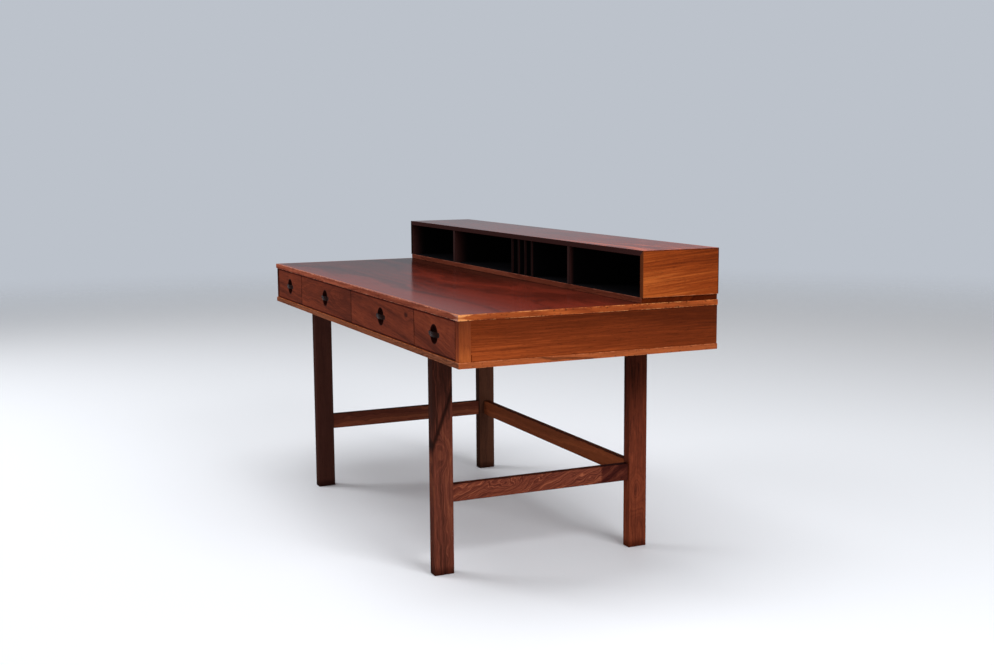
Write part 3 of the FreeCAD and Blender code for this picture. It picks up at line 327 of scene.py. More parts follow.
tree = figure
print("rosewood settings:", len(given) - 1)

# %% Bend the rings
# Each seed moves the noise elsewhere. The slant is taken out of a position before its noise is read.
HALF = (0.5, 0.5, 0.5)
SEED_STEP = (7.31, 3.17, 5.71)
offset = vector(tree, "SCALE", SEED_STEP, given["Seed"])
along = add_node(tree, "ShaderNodeSeparateXYZ", Vector=given["Position"]).outputs["X"]
straight = vector(tree, "SUBTRACT", given["Position"], vector(tree, "SCALE", given["Slant"], along))
spot = vector(tree, "ADD", straight, offset)

# The heart wanders slowly, the rings wave a little, and their edges are ragged.
SLOW_LUMPS = (1.3, 3.0, 3.0)
WAVE_LUMPS = (7, 24, 24)
CURL_LUMPS = (30, 50, 50)
RAGGED_LUMPS = (26, 190, 190)
WAVE_SHARE = 0.2
slow = vector(tree, "SUBTRACT", noise(tree, spot, 1.0, SLOW_LUMPS).outputs["Color"], HALF)
wave = vector(tree, "SUBTRACT", noise(tree, spot, 2.0, WAVE_LUMPS).outputs["Color"], HALF)
curls = vector(tree, "SUBTRACT", noise(tree, spot, 1.0, CURL_LUMPS).outputs["Color"], HALF)
ragged = vector(tree, "SUBTRACT", noise(tree, spot, 2.0, RAGGED_LUMPS).outputs["Color"], HALF)
small_swirl = number(tree, "MULTIPLY", given["Swirl"], WAVE_SHARE)
half_ring = number(tree, "MULTIPLY", given["Ring"], 0.5)
ragged_reach = number(tree, "MULTIPLY", given["Ring"], given["Ragged"])
bent = vector(tree, "ADD", straight, vector(tree, "SCALE", slow, given["Swirl"]))
bent = vector(tree, "ADD", bent, vector(tree, "SCALE", wave, small_swirl))
waved = vector(tree, "ADD", given["Position"], vector(tree, "SCALE", wave, half_ring))
bent = vector(tree, "ADD", bent, vector(tree, "SCALE", curls, given["Curl"]))
bent = vector(tree, "ADD", bent, vector(tree, "SCALE", ragged, ragged_reach))
across = vector(tree, "MULTIPLY", vector(tree, "SUBTRACT", bent, given["Heart"]), (0, 1, 1))
distance = vector(tree, "LENGTH", across)
print("rings:", len(tree.nodes), "nodes so far")

# %% Add a knot and a vein
# A knot lifts the rings into a small hill, twice as long as it is wide.
KNOT_STRETCH = (0.5, 1, 1)
KNOT_HEIGHT = 1.6
knot_offset = vector(tree, "MULTIPLY", vector(tree, "SUBTRACT", waved, given["Knot Place"]), KNOT_STRETCH)
knot_reach = number(tree, "DIVIDE", vector(tree, "LENGTH", knot_offset), given["Knot Size"])
knot_fall = number(tree, "MULTIPLY", number(tree, "MULTIPLY", knot_reach, knot_reach), -1)
knot_hill = number(tree, "EXPONENT", knot_fall)
knot_height = number(tree, "MULTIPLY", given["Knot Size"], KNOT_HEIGHT)
knot_rise = number(tree, "MULTIPLY", knot_hill, knot_height)
ring = number(tree, "DIVIDE", number(tree, "ADD", distance, knot_rise), given["Ring"])

# A vein is a plane. Its reach counts vein widths from it, and is negative on one side.
vein_offset = vector(tree, "SUBTRACT", waved, given["Vein Place"])
vein_distance = vector(tree, "DOT_PRODUCT", vein_offset, given["Vein Turn"])
vein_reach = number(tree, "DIVIDE", vein_distance, given["Vein Width"])
beyond_vein = number(tree, "MULTIPLY", span(tree, vein_reach, -2.0, 4.0), given["Vein Step"])
print("knot and vein:", len(tree.nodes), "nodes so far")

# %% Read the tone off the rings
# Broad bands, single rings, stripes and streaks give the tone.
RING_SEED_STEP = 13.7
BROAD_PACE = 0.16
SINGLE_PACE = 0.7
STREAK_LUMPS = 240.0
DARK_TONE = 0.34
MAIN_TONES = (0.50, 0.52)
PALE_TONE = 0.68
ring_seed = number(tree, "MULTIPLY", given["Seed"], RING_SEED_STEP)
broad = noise_along(tree, number(tree, "MULTIPLY_ADD", ring, BROAD_PACE, ring_seed), 1.0)
single = noise_along(tree, number(tree, "MULTIPLY_ADD", ring, SINGLE_PACE, ring_seed), 3.0, 0.6)
fine = number(tree, "MULTIPLY", number(tree, "SUBTRACT", single, 0.5), given["Fine"])
tone = number(tree, "ADD", number(tree, "SUBTRACT", broad, 0.5), fine)
tone = number(tree, "MULTIPLY", tone, number(tree, "MULTIPLY", given["Contrast"], 0.5))
tone = number(tree, "ADD", number(tree, "ADD", tone, 0.5), given["Lift"])
stripe = number(tree, "SUBTRACT", number(tree, "PINGPONG", ring, 1.0), 0.5)
streaks_along = number(tree, "DIVIDE", 1.0, given["Streak Length"])
streak_lumps = add_node(tree, "ShaderNodeCombineXYZ", X=streaks_along, Y=STREAK_LUMPS, Z=STREAK_LUMPS)
streak_noise = noise(tree, spot, 2.0, streak_lumps.outputs["Vector"]).outputs["Fac"]
streak = number(tree, "SUBTRACT", streak_noise, 0.5)
tone = number(tree, "MULTIPLY_ADD", stripe, given["Stripe"], tone)
tone = number(tree, "MULTIPLY_ADD", streak, given["Streak"], tone)
tone = number(tree, "ADD", tone, beyond_vein)
tone = number(tree, "ADD", tone, vector(tree, "DOT_PRODUCT", given["Position"], given["Lean"]))
colour = mix(tree, span(tree, tone, DARK_TONE, MAIN_TONES[1]), given["Dark"], given["Main"])
colour = mix(tree, span(tree, tone, MAIN_TONES[0], PALE_TONE), colour, given["Pale"])
print("tone:", len(tree.nodes), "nodes so far")

# %% Draw the ink lines
# Ink lines follow the rings and come and go along the board. Knots and veins have the same colour.
LINE_SEED_STEP = 4.4
LINE_PACE = 0.42
LINE_LUMPS = (2.2, 12, 12)
VEIN_INK = 0.85
line_seed = number(tree, "ADD", ring_seed, LINE_SEED_STEP)
line_path = noise_along(tree, number(tree, "MULTIPLY_ADD", ring, LINE_PACE, line_seed), 1.5)
line_gap = number(tree, "ABSOLUTE", number(tree, "SUBTRACT", line_path, 0.5))
line = span(tree, line_gap, 0.028, 0.004)
line_fade = span(tree, noise(tree, spot, 1.0, LINE_LUMPS).outputs["Fac"], 0.36, 0.6)
ink = number(tree, "MULTIPLY", number(tree, "MULTIPLY", line, line_fade), given["Ink"])
knot_core = span(tree, knot_reach, 0.9, 0.3)
ink = number(tree, "MAXIMUM", ink, number(tree, "MULTIPLY", knot_core, given["Knot Core"]))
vein = span(tree, number(tree, "ABSOLUTE", vein_reach), 1.0, 0.1, 0.0, VEIN_INK)
ink = number(tree, "MAXIMUM", ink, vein)
colour = mix(tree, ink, colour, given["Line"])
print("ink lines:", len(tree.nodes), "nodes so far")

# %% Add pores and fibres
# Pores are dark dashes of about a centimetre, and fibres are longer ones, paler and darker in turn.
PORE_LUMPS = (60, 1500, 1500)
FIBRE_LUMPS = (22, 700, 700)
PORE_INK = 0.55
pore = span(tree, noise(tree, spot, 1.0, PORE_LUMPS).outputs["Fac"], 0.63, 0.70)
fibre = noise(tree, spot, 2.0, FIBRE_LUMPS).outputs["Fac"]
colour = mix(tree, number(tree, "MULTIPLY", pore, PORE_INK), colour, given["Line"])
fibre_light = span(tree, fibre, 0.25, 0.75, 0.86, 1.14)
fibre_colour = add_node(tree, "ShaderNodeCombineColor", Red=fibre_light, Green=fibre_light, Blue=fibre_light)
colour = mix(tree, 1.0, colour, fibre_colour.outputs["Color"], "MULTIPLY")
plug(tree, result["Color"], colour)
plug(tree, result["Gloss"], number(tree, "MULTIPLY_ADD", fibre, 0.5, number(tree, "MULTIPLY", pore, 0.5)))
plug(tree, result["Height"], number(tree, "SUBTRACT", number(tree, "MULTIPLY", fibre, 0.25), pore))
print("rosewood group:", len(tree.nodes), "nodes")

# %% [markdown]
# ## Edges
# Edges age first: sleeves rub the lipping bright, and wax and dust darken the joints between boards. The
# edge colour is also painted light: on the bright edges of lippings, leaf and gallery it is partly a
# painted highlight along the arris, and on the drawer fronts it is partly painted shade in the gaps
# between them. A board is a box, so the distance from any point of its skin to the nearest edge is simple
# arithmetic: of the distances to the box's three pairs of faces, the smallest is the face that the point
# lies on, and the next one is the way to the edge. The upright edges of a frame's corners can be left out.
# A little noise breaks the line up, and at a place that is rubbed hard the line is wider. The same group
# finds the nicks: small dents that have filled with dark wax, most of them near an edge.

# %% Measure the way to the nearest edge
edges, given, result = new_group(
    "board_edges",
    (
        ("Position", "Vector", None),
        ("Low", "Vector", (0, 0, 0)),
        ("High", "Vector", (1, 1, 1)),
        ("Width", "Float", 0.003),
        ("Uprights", "Float", 1),
        ("Rub Place", "Vector", (0, 0, 0)),
        ("Rub Width", "Float", 0),
    ),
    (("Edge", "Float", None), ("Nick", "Float", None)),
)
tree = edges
to_low = vector(tree, "SUBTRACT", given["Position"], given["Low"])
to_high = vector(tree, "SUBTRACT", given["High"], given["Position"])
nearest = add_node(tree, "ShaderNodeSeparateXYZ", Vector=vector(tree, "MINIMUM", to_low, to_high))
first, second, third = nearest.outputs
lesser = number(tree, "MINIMUM", first, second)
greater = number(tree, "MAXIMUM", first, second)
edge_distance = number(tree, "MAXIMUM", lesser, number(tree, "MINIMUM", greater, third))
level_only = number(tree, "SUBTRACT", 1.0, given["Uprights"])
level_distance = number(tree, "MULTIPLY", number(tree, "MAXIMUM", lesser, third), level_only)
edge_distance = number(tree, "MAXIMUM", edge_distance, level_distance)
print("edge distance:", len(tree.nodes), "nodes so far")

# %% Rub and dent the edges
WEAR_LUMPS = (40, 40, 40)
RUB_REACH = 0.045
wear = noise(tree, given["Position"], 4.0, WEAR_LUMPS, 0.7).outputs["Fac"]
reach = number(tree, "MULTIPLY", given["Width"], span(tree, wear, 0.36, 0.7, 0.2, 2.2))
from_rub = vector(tree, "LENGTH", vector(tree, "SUBTRACT", given["Position"], given["Rub Place"]))
rub = number(tree, "MULTIPLY", span(tree, from_rub, RUB_REACH, 0.0), given["Rub Width"])
reach = number(tree, "ADD", reach, rub)
plug(tree, result["Edge"], span(tree, number(tree, "DIVIDE", edge_distance, reach), 1.0, 0.25))
DENT_LUMPS = (150, 150, 150)
NICK_REACH = 0.012
dents = noise(tree, given["Position"], 3.0, DENT_LUMPS, 0.65).outputs["Fac"]
dent_limit = span(tree, edge_distance, 0.0, NICK_REACH, 0.56, 0.72)
plug(tree, result["Nick"], span(tree, number(tree, "SUBTRACT", dents, dent_limit), 0.0, 0.07))
print("edge group:", len(tree.nodes), "nodes")

# %% [markdown]
# ## Patches
# Some parts show two finishes. The gallery's pigeonholes are painted black inside, while the outside of
# the same boards is polished rosewood and their front edges are bare wood. The border between two
# such finishes is a plain box in space, so a small group tells whether a point lies inside a box. The
# border is sharp, or it fades over a distance, and the box's front can have a longer fade of its own.

# %% Build the inside group
SHARP = 0.00005
inside_box, given, result = new_group(
    "inside_box",
    (
        ("Position", "Vector", None),
        ("Low", "Vector", (0, 0, 0)),
        ("High", "Vector", (1, 1, 1)),
        ("Fade", "Float", SHARP),
        ("Front Fade", "Float", SHARP),
    ),
    (("Inside", "Float", None),),
)
tree = inside_box
above_low = vector(tree, "SUBTRACT", given["Position"], given["Low"])
below_high = vector(tree, "SUBTRACT", given["High"], given["Position"])
depths = add_node(tree, "ShaderNodeSeparateXYZ", Vector=vector(tree, "MINIMUM", above_low, below_high))
first, second, third = depths.outputs
least = number(tree, "MINIMUM", number(tree, "MINIMUM", first, second), third)
outside = number(tree, "MULTIPLY", given["Fade"], -1)
within = span(tree, least, outside, given["Fade"])
from_front = add_node(tree, "ShaderNodeSeparateXYZ", Vector=above_low).outputs["Y"]
past_front = span(tree, from_front, 0.0, given["Front Fade"])
plug(tree, result["Inside"], number(tree, "MULTIPLY", within, past_front))
print("inside group:", len(tree.nodes), "nodes")


# %% Use the inside group in a finish
def inside(tree, place, low, high, fade=SHARP, front_fade=SHARP):
    """How far a point lies inside a box, from 0 for outside to 1 for inside."""
    group = add_node(tree, "ShaderNodeGroup", {"node_tree": inside_box}, Position=place, Low=low, High=high,
                     Fade=fade, Front_Fade=front_fade)
    return group.outputs["Inside"]


print("sharp border:", SHARP * 1000, "mm")

# %% [markdown]
# ## Wood finishes
# The desk is rosewood, oiled on most faces and polished on the flat tops. One finish for all of it would
# run straight through the joints, as in a desk carved from one block. So each board gets its own copy of
# the finish, turned so that the grain runs along it and centred on it, with its own seed, and no two
# boards show the same figure. The shader is a plain Principled BSDF: the figure drives its colour, its
# roughness and a faint bump. Oiled wood hardly shines, and polish is a thin clear coat over it. A tint
# multiplies a colour into one face of a board: most tints paint the light and shade that fall on that
# face, and a few are dust, wax or a dark joint. A patch covers the wood with a colour of its own.

# %% Define the woods
# Each wood has a pale, a main and a dark tone, and the colour of its edges, which is rubbed wood and wax,
# and partly painted light: a highlight where that colour is bright, and shade in the gaps where it is dark.
WOODS = {
    "top": ((112, 40, 27), (76, 27, 18), (46, 16, 10), (44, 15, 9)),
    "gallery top": ((200, 92, 52), (108, 36, 20), (68, 23, 14), (134, 62, 40)),
    "leaf": ((128, 66, 48), (112, 54, 38), (92, 40, 27), (136, 78, 62)),
    "front": ((126, 57, 35), (105, 46, 29), (80, 34, 22), (44, 16, 10)),
    "end": ((156, 72, 31), (110, 46, 19), (80, 31, 12), (104, 44, 18)),
    "end strip": ((172, 89, 42), (129, 61, 30), (108, 51, 27), (132, 62, 30)),
    "gallery end": ((170, 86, 36), (134, 58, 21), (104, 41, 14), (182, 108, 70)),
    "lipping": ((180, 91, 57), (153, 73, 45), (122, 53, 34), (228, 152, 114)),
    "low lipping": ((189, 104, 60), (163, 85, 46), (132, 64, 35), (202, 122, 80)),
    "trestle": ((142, 79, 54), (101, 51, 38), (58, 30, 23), (66, 34, 26)),
    "red leg": ((126, 60, 38), (100, 46, 30), (46, 21, 15), (58, 27, 20)),
    "dark leg": ((82, 46, 37), (70, 39, 32), (56, 31, 25), (52, 29, 24)),
    "brown leg": ((96, 59, 43), (82, 50, 37), (66, 40, 30), (58, 35, 27)),
    "burl": ((158, 88, 60), (114, 57, 41), (82, 38, 29), (66, 32, 25)),
    "rail": ((142, 74, 43), (119, 61, 35), (88, 44, 28), (62, 32, 22)),
    "divider": ((66, 45, 44), (56, 37, 36), (46, 29, 28), (60, 40, 39)),
    "drawer": ((196, 156, 108), (178, 136, 90), (152, 110, 68), (190, 150, 104)),
}
INK = (26, 12, 9)
BLACK_PAINT = (20, 19, 22)
NICK = (72, 32, 19)
OILED = 0.03
OIL_ROUGHNESS = 0.35
WOOD_ROUGHNESS = (0.42, 0.62)
PORE_DEPTH = 0.0002
PORE_STRENGTH = 0.25
print("woods:", ", ".join(WOODS))

# %% Lay the grain along a board
GRAIN_TURNS = {"X": (0, 0, 0), "Y": (0, 0, math.pi / 2), "Z": (0, -math.pi / 2, 0)}


def centred(tree, place, low, high, grain):
    """Positions from the middle of a part's box, with X along the grain."""
    mapping = add_node(tree, "ShaderNodeMapping", {"vector_type": "TEXTURE"}, Vector=place)
    mapping.inputs["Location"].default_value = (low + high) / 2
    mapping.inputs["Rotation"].default_value = GRAIN_TURNS[grain]
    return mapping.outputs["Vector"]


def along_frame(tree, place, low, high):
    """Positions whose grain runs along each strip of a frame and turns at its mitred corners."""
    along_x = centred(tree, place, low, high, "X")
    half = (high - low) / 2
    sides = add_node(tree, "ShaderNodeSeparateXYZ", Vector=vector(tree, "ABSOLUTE", along_x))
    to_end = number(tree, "SUBTRACT", half.x, sides.outputs["X"])
    to_front = number(tree, "SUBTRACT", half.y, sides.outputs["Y"])
    choice = add_node(tree, "ShaderNodeMix", {"data_type": "VECTOR"})
    plug(tree, choice.inputs["Factor"], number(tree, "LESS_THAN", to_end, to_front))
    plug(tree, choice.inputs[4], along_x)
    plug(tree, choice.inputs[5], centred(tree, place, low, high, "Y"))
    return choice.outputs[1]


print("grain turns:", ", ".join(GRAIN_TURNS))


# %% Put the finish together
def dress(node, finish):
    """Give a part one finish all over."""
    materials = nodes[node].data.materials
    materials.clear()
    materials.append(finish)


def wood(node, kind, grain, heart, seed, ring=0.006, edge=0.0006, shine=0.0, polish=OILED,
         polish_roughness=OIL_ROUGHNESS, polished=None, rub=None, level_edges=False, nicks=0.0,
         tints=(), patches=(), **figured):
    """Finish one part in wood. What is left over, such as swirl or ink, goes to the figure."""
    low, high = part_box(node)
    finish = bpy.data.materials.new(node + "_wood")
    finish.use_nodes = True
    tree = finish.node_tree
    shader = tree.nodes["Principled BSDF"]
    place = tree.nodes.new("ShaderNodeTexCoord").outputs["Object"]
    if grain == "frame":
        position = along_frame(tree, place, low, high)
    else:
        position = centred(tree, place, low, high, grain)

    # The figure of this board.
    pale, main, dark, edge_wear_and_light = (shade(*tone) for tone in WOODS[kind])
    board = add_node(tree, "ShaderNodeGroup", {"node_tree": figure}, Position=position, Heart=heart,
                     Seed=seed, Ring=ring, Pale=pale, Main=main, Dark=dark, Line=shade(*INK))
    for setting, value in figured.items():
        board.inputs[setting.replace("_", " ").title()].default_value = value

    # Wear along its edges.
    border = add_node(tree, "ShaderNodeGroup", {"node_tree": edges}, Position=place, Low=low, High=high,
                      Width=edge)
    if level_edges:
        border.inputs["Uprights"].default_value = 0
    if rub:
        rub_place, rub_width = rub
        border.inputs["Rub Place"].default_value = rub_place
        border.inputs["Rub Width"].default_value = rub_width
    # The edge colour is rubbed wood and wax, and partly painted light: a highlight on bright edges, shade in
    # the gaps along dark ones.
    colour = mix(tree, border.outputs["Edge"], board.outputs["Color"], edge_wear_and_light)
    if nicks:
        nick = number(tree, "MULTIPLY", border.outputs["Nick"], nicks)
        colour = mix(tree, nick, colour, shade(*NICK))

    # Tints, polish, and patches, which have no polish.
    for tint_low, tint_high, tint_colour, fade in tints:
        tinted = inside(tree, place, tint_low, tint_high, fade)
        colour = mix(tree, tinted, colour, shade(*tint_colour), "MULTIPLY")
    coat = polish
    if polished:
        coat = number(tree, "MULTIPLY_ADD", inside(tree, place, *polished), polish - OILED, OILED)
    for patch_low, patch_high, patch_colour, *front_fade in patches:
        patch = inside(tree, place, patch_low, patch_high, SHARP, *front_fade)
        colour = mix(tree, patch, colour, shade(*patch_colour))
        coat = number(tree, "MULTIPLY", coat, number(tree, "SUBTRACT", 1.0, patch))

    # The shader.
    plug(tree, shader.inputs["Base Color"], colour)
    plug(tree, shader.inputs["Roughness"], span(tree, board.outputs["Gloss"], 0.1, 0.9, *WOOD_ROUGHNESS))
    plug(tree, shader.inputs["Specular IOR Level"], shine)
    plug(tree, shader.inputs["Coat Weight"], coat)
    plug(tree, shader.inputs["Coat Roughness"], polish_roughness)
    bump = add_node(tree, "ShaderNodeBump", Height=board.outputs["Height"], Strength=PORE_STRENGTH,
                    Distance=PORE_DEPTH)
    plug(tree, shader.inputs["Normal"], bump.outputs["Normal"])
    dress(node, finish)


print("pores:", PORE_DEPTH * 1000, "mm deep at most")

# %% Describe a face of a board
SKIN = Vector((0.0004, 0.0004, 0.0004))
# For each face, the axis that it is square to, and whether it is the upper of the two.
FACES = {
    "left": (0, False),
    "right": (0, True),
    "front": (1, False),
    "back": (1, True),
    "bottom": (2, False),
    "top": (2, True),
}


def skin(node, face, depth=0.0):
    """The box of one face of a part, down to a depth."""
    low, high = (Vector(corner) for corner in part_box(node))
    axis, upper = FACES[face]
    if upper:
        low[axis] = high[axis] - depth
    else:
        high[axis] = low[axis] + depth
    return low - SKIN, high + SKIN


def tint(node, face, colour, depth=0.0, fade=SHARP):
    """A colour to multiply into one face of a part, down to a depth, and gone two fades further."""
    low, high = skin(node, face, depth)
    margin = Vector((fade, fade, fade))
    return low - margin, high + margin, colour, fade


print("faces:", ", ".join(FACES))

# %% [markdown]
# ## The case
# The writing surface is a dark, polished board. Its tone leans darker towards the back, which is partly
# darker wood under the gallery and partly painted shade and a painted dark reflection of the gallery. The
# solid lipping round it is paler and rubbed bright along its edges, most of all at the front corner. Its
# grain turns at the mitred corners, which tells solid strips from a painted border. Each face of the
# lipping gets a tint that paints the light on that face: the front darker and cooler, the top and the
# right warmer, and the front of the lower lipping darker. A material for each face would do, but a tint
# for each face keeps the figure running over the edges.

# %% Finish the top, the bottom and their lippings
lipping_low, lipping_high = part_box("desk_top_lipping")
front_corner = (lipping_high.x, lipping_low.y, lipping_high.z)
TOP_POLISH = 0.42
TOP_ROUGHNESS = 0.15
# Tints that paint the light on each face of the lippings: the fronts darker and cooler, the top and the
# right warmer.
LIPPING_FACE_LIGHT = {"front": (212, 222, 252), "top": (226, 208, 162), "right": (255, 255, 206)}
LOW_LIPPING_FRONT_SHADE = (192, 212, 255)
CORNER_RUB = 0.009
# The desk top's lean darkens it towards the back: darker wood under the gallery, and painted shade and
# reflection of the gallery.
wood("desk_top", "top", "X", (0, 0.06, -0.16), 1.0, ring=0.02, swirl=0.3, ink=0.05, contrast=0.7,
     streak=0.14, lift=-0.05, lean=(0.12, -0.7, 0), polish=TOP_POLISH, polish_roughness=TOP_ROUGHNESS)
wood("case_bottom", "top", "X", (0, -0.1, -0.2), 2.0, ring=0.008, swirl=0.2)
wood("desk_top_lipping", "lipping", "frame", (0, 0.4, -0.3), 5.08, ring=0.003, swirl=0.05, ink=0.4,
     contrast=1.0, streak=0.3, edge=0.001, rub=(front_corner, CORNER_RUB), level_edges=True, nicks=0.8,
     polish=TOP_POLISH, polish_roughness=TOP_ROUGHNESS, polished=skin("desk_top_lipping", "top"),
     tints=[tint("desk_top_lipping", face, colour) for face, colour in LIPPING_FACE_LIGHT.items()])
wood("case_bottom_lipping", "low lipping", "frame", (0, 0.4, 0.3), 5.48, ring=0.003, swirl=0.05, ink=0.5,
     contrast=0.8, edge=0.001, level_edges=True, nicks=0.6,
     tints=(tint("case_bottom_lipping", "front", LOW_LIPPING_FRONT_SHADE),))
print("rubbed corner:", [round(value, 4) for value in front_corner])

# %% [markdown]
# ## The ends of the case
# The end panels lean from darker above to a bright orange below. A gradient over the whole panel would
# hide its figure, so the tone of the figure itself leans with the height. Each panel has a solid, upright
# strip on its front edge, whose front face is tinted darker as painted shade. The left strip is darker
# still, and a short dark joint shows at the foot of each panel where it meets the strip.

# %% Finish the ends and the back
# The strips' front faces are tinted darker as painted shade.
STRIP_FRONT_SHADE = (232, 222, 255)
LEFT_STRIP = (140, 128, 124)
END_JOINT = (170, 140, 120)
END_JOINT_WIDTH = 0.0022
END_JOINT_HEIGHT = 0.022
for side, seed in (("left", 5.0), ("right", 6.0)):
    node = "end_panel_" + side
    low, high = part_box(node)
    joint_high = Vector((high.x, low.y + END_JOINT_WIDTH, low.z + END_JOINT_HEIGHT))
    joint = (low - SKIN, joint_high + SKIN, END_JOINT, SHARP)
    wood(node, "end", "Y", (0, 0.3, -0.25), seed, ring=0.0035, swirl=0.05, ink=0.12, contrast=0.2,
         streak=0.25, streak_length=0.16, lift=-0.02, lean=(-0.22, 0, -2.1), edge=0.0002, nicks=0.35,
         tints=(joint,))
strip_low, strip_high = skin("end_panel_lipping", "front")
left_strip = (strip_low, Vector((0, strip_high.y, strip_high.z)), LEFT_STRIP, SHARP)
wood("end_panel_lipping", "end strip", "Z", (0, 0.2, 0.1), 7.0, ring=0.005, swirl=0.05, ink=0.1,
     contrast=0.3, lift=-0.02, lean=(-3.0, 0, 0), edge=0.0003,
     tints=(tint("end_panel_lipping", "front", STRIP_FRONT_SHADE), left_strip))
wood("case_back", "end", "X", (0, -0.12, 0.02), 8.0, ring=0.007, swirl=0.12)
print("strips:", [round(size, 4) for size in strip_high - strip_low])

# %% [markdown]
# ## The drawer fronts
# The four fronts are alike in tone and in the width of their rings, but each has its own arches. So they
# share one set of values, and a table gives what differs. On the third and fourth the grain falls to the
# right, and the third has a small knot near its right end. Along their upper and lower edges a sharp tint
# a few millimetres deep paints the shadow and shade that the lippings above and below put on them, and
# their dark edge colour paints the shade in the gaps between them.

# %% Finish the drawer fronts
FRONT_HALF = 0.01
FRONT_POLISH = 0.05
LIPPING_SHADOW = (180, 140, 130)
LIPPING_SHADOW_DEPTH = 0.0035
FRONTS = {
    1: {"seed": 13.22, "lift": -0.03},
    2: {"seed": 15.33, "lift": -0.03, "lean": (-0.25, 0, 0)},
    3: {"seed": 15.59, "lift": 0.03, "slant": (0, 0, -0.12), "knot_place": (0.198, -FRONT_HALF, 0.026),
        "knot_size": 0.011, "knot_core": 0.76},
    4: {"seed": 18.44, "slant": (0, 0, -0.18), "lean": (-0.16, 0, 0)},
}
for drawer, figured in FRONTS.items():
    node = "drawer_%d_front" % drawer
    # A tint along the upper and lower edge paints the shadow and shade from the lippings above and below.
    joints = [tint(node, face, LIPPING_SHADOW, LIPPING_SHADOW_DEPTH) for face in ("top", "bottom")]
    wood(node, "front", "X", (0, 0.07, 0.02), ring=0.0045, swirl=0.07, ink=0.3, contrast=0.7,
         streak=0.25, edge=0.0016, polish=FRONT_POLISH, tints=joints, **figured)
print("fronts:", len(FRONTS))

# %% [markdown]
# ## The trestle
# Legs and stretchers are cut flat from strongly figured wood: the heart lies just outside the faces of the
# legs, so that the rings show as loops. Each leg has its own tone, its narrow front face is tinted darker
# as painted shade, and its foot is darker near the floor. The two right legs are the liveliest. The front
# one has a broad dark vein with darker wood beyond it, and the rear one darkens towards its top, where a
# lean and a tint paint the shadow that the case casts on it. The tops of the stretchers are tinted darker
# as painted shade under the case. The right stretcher slants and curls from end to end, round a swirl,
# and darkens towards the rear. All this could be drawn by hand on a picture for each piece, but one
# figure with a table of settings also gives the faces that nobody draws.

# %% Finish the legs
LEG_HEART = (0, 0.004, -0.036)
LEG_FACE = -0.016
FOOT_HEIGHT = 0.004
FOOT_SHADE = (178, 168, 165)
FOOT_FADE = 0.012
TOP_SHADOW_DEPTH = 0.1
TOP_SHADOW_FADE = 0.09
# Each leg's shade tints its narrow front face darker as painted shade. The rear right leg's lean and its top
# tint paint the shadow of the case on its upper part.
LEGS = {
    "front_left": {"kind": "dark leg", "seed": 21.0, "shade": (200, 200, 200), "contrast": 0.6,
                   "lean": (-0.1, 0, 0)},
    "front_right": {"kind": "trestle", "seed": 24.22, "shade": (225, 225, 225), "ring": 0.0026,
                    "swirl": 0.14, "curl": 0.012, "ink": 0.06, "contrast": 0.75, "fine": 0.55, "ragged": 1.0,
                    "stripe": 0.07, "streak": 0.25, "lean": (0.12, 0, 0),
                    "knot_place": (0.02, 0.0, LEG_FACE), "knot_size": 0.022, "knot_core": 0.0,
                    "vein_place": (0.125, 0.002, LEG_FACE), "vein_turn": (0.36, -0.93, 0),
                    "vein_width": 0.01, "vein_step": -0.17},
    "rear_left": {"kind": "brown leg", "seed": 23.0, "shade": (160, 160, 160), "contrast": 0.6,
                  "lean": (0.05, 0, 0)},
    "rear_right": {"kind": "red leg", "seed": 26.22, "shade": (250, 250, 250), "crown": (190, 184, 180),
                   "ring": 0.0028, "swirl": 0.12, "curl": 0.008, "ink": 0.05, "contrast": 0.8, "fine": 0.45,
                   "ragged": 1.0, "stripe": 0.06, "streak": 0.35, "lift": 0.02, "lean": (-0.3, 0, 0),
                   "knot_place": (-0.14, -0.006, LEG_FACE), "knot_size": 0.022, "knot_core": 0.0},
}
for corner, leg in LEGS.items():
    node = "leg_" + corner
    figured = {"ring": 0.0042, "ink": 0.12, **leg}
    tints = [
        tint(node, "front", figured.pop("shade")),
        tint(node, "bottom", FOOT_SHADE, FOOT_HEIGHT, FOOT_FADE),
    ]
    if "crown" in figured:
        tints.append(tint(node, "top", figured.pop("crown"), TOP_SHADOW_DEPTH, TOP_SHADOW_FADE))
    wood(node, grain="Z", heart=LEG_HEART, tints=tints, **figured)
print("legs:", ", ".join(LEGS))

# %% Finish the stretchers
# The tint on the tops of the stretchers paints the shade under the case.
RAIL_TOP_SHADE = (165, 155, 150)
RAIL_END_DEPTH = 0.096
RAIL_END_FADE = 0.008
RAIL_END_SHADE = (170, 158, 170)
shaded_rail_tops = {rail: tint("stretcher_" + rail, "top", RAIL_TOP_SHADE) for rail in ("left", "right", "rear")}
rail_end = tint("stretcher_right", "back", RAIL_END_SHADE, RAIL_END_DEPTH, RAIL_END_FADE)
wood("stretcher_left", "trestle", "Y", (0, -0.03, 0.03), 31.0, ring=0.006, swirl=0.09, curl=0.01, ink=0.3,
     lift=0.1, edge=0.0015, tints=(shaded_rail_tops["left"],))
wood("stretcher_right", "burl", "Y", (0, -0.02, -0.1), 33.48, slant=(0, 0, 0.4), ring=0.0022, swirl=0.12,
     curl=0.03, ink=0.08, contrast=0.9, ragged=1.0, stripe=0.1, streak=0.3, lift=-0.02, edge=0.0018,
     knot_place=(-0.09, -0.01, 0), knot_size=0.024, knot_core=0.0, tints=(shaded_rail_tops["right"], rail_end))
wood("stretcher_rear", "rail", "X", (0, -0.05, 0.04), 33.0, ring=0.006, swirl=0.06, curl=0.006, ink=0.2,
     contrast=0.7, lean=(0.14, 0, 0), edge=0.0015, tints=(shaded_rail_tops["rear"],))
print("stretchers:", ", ".join(shaded_rail_tops))

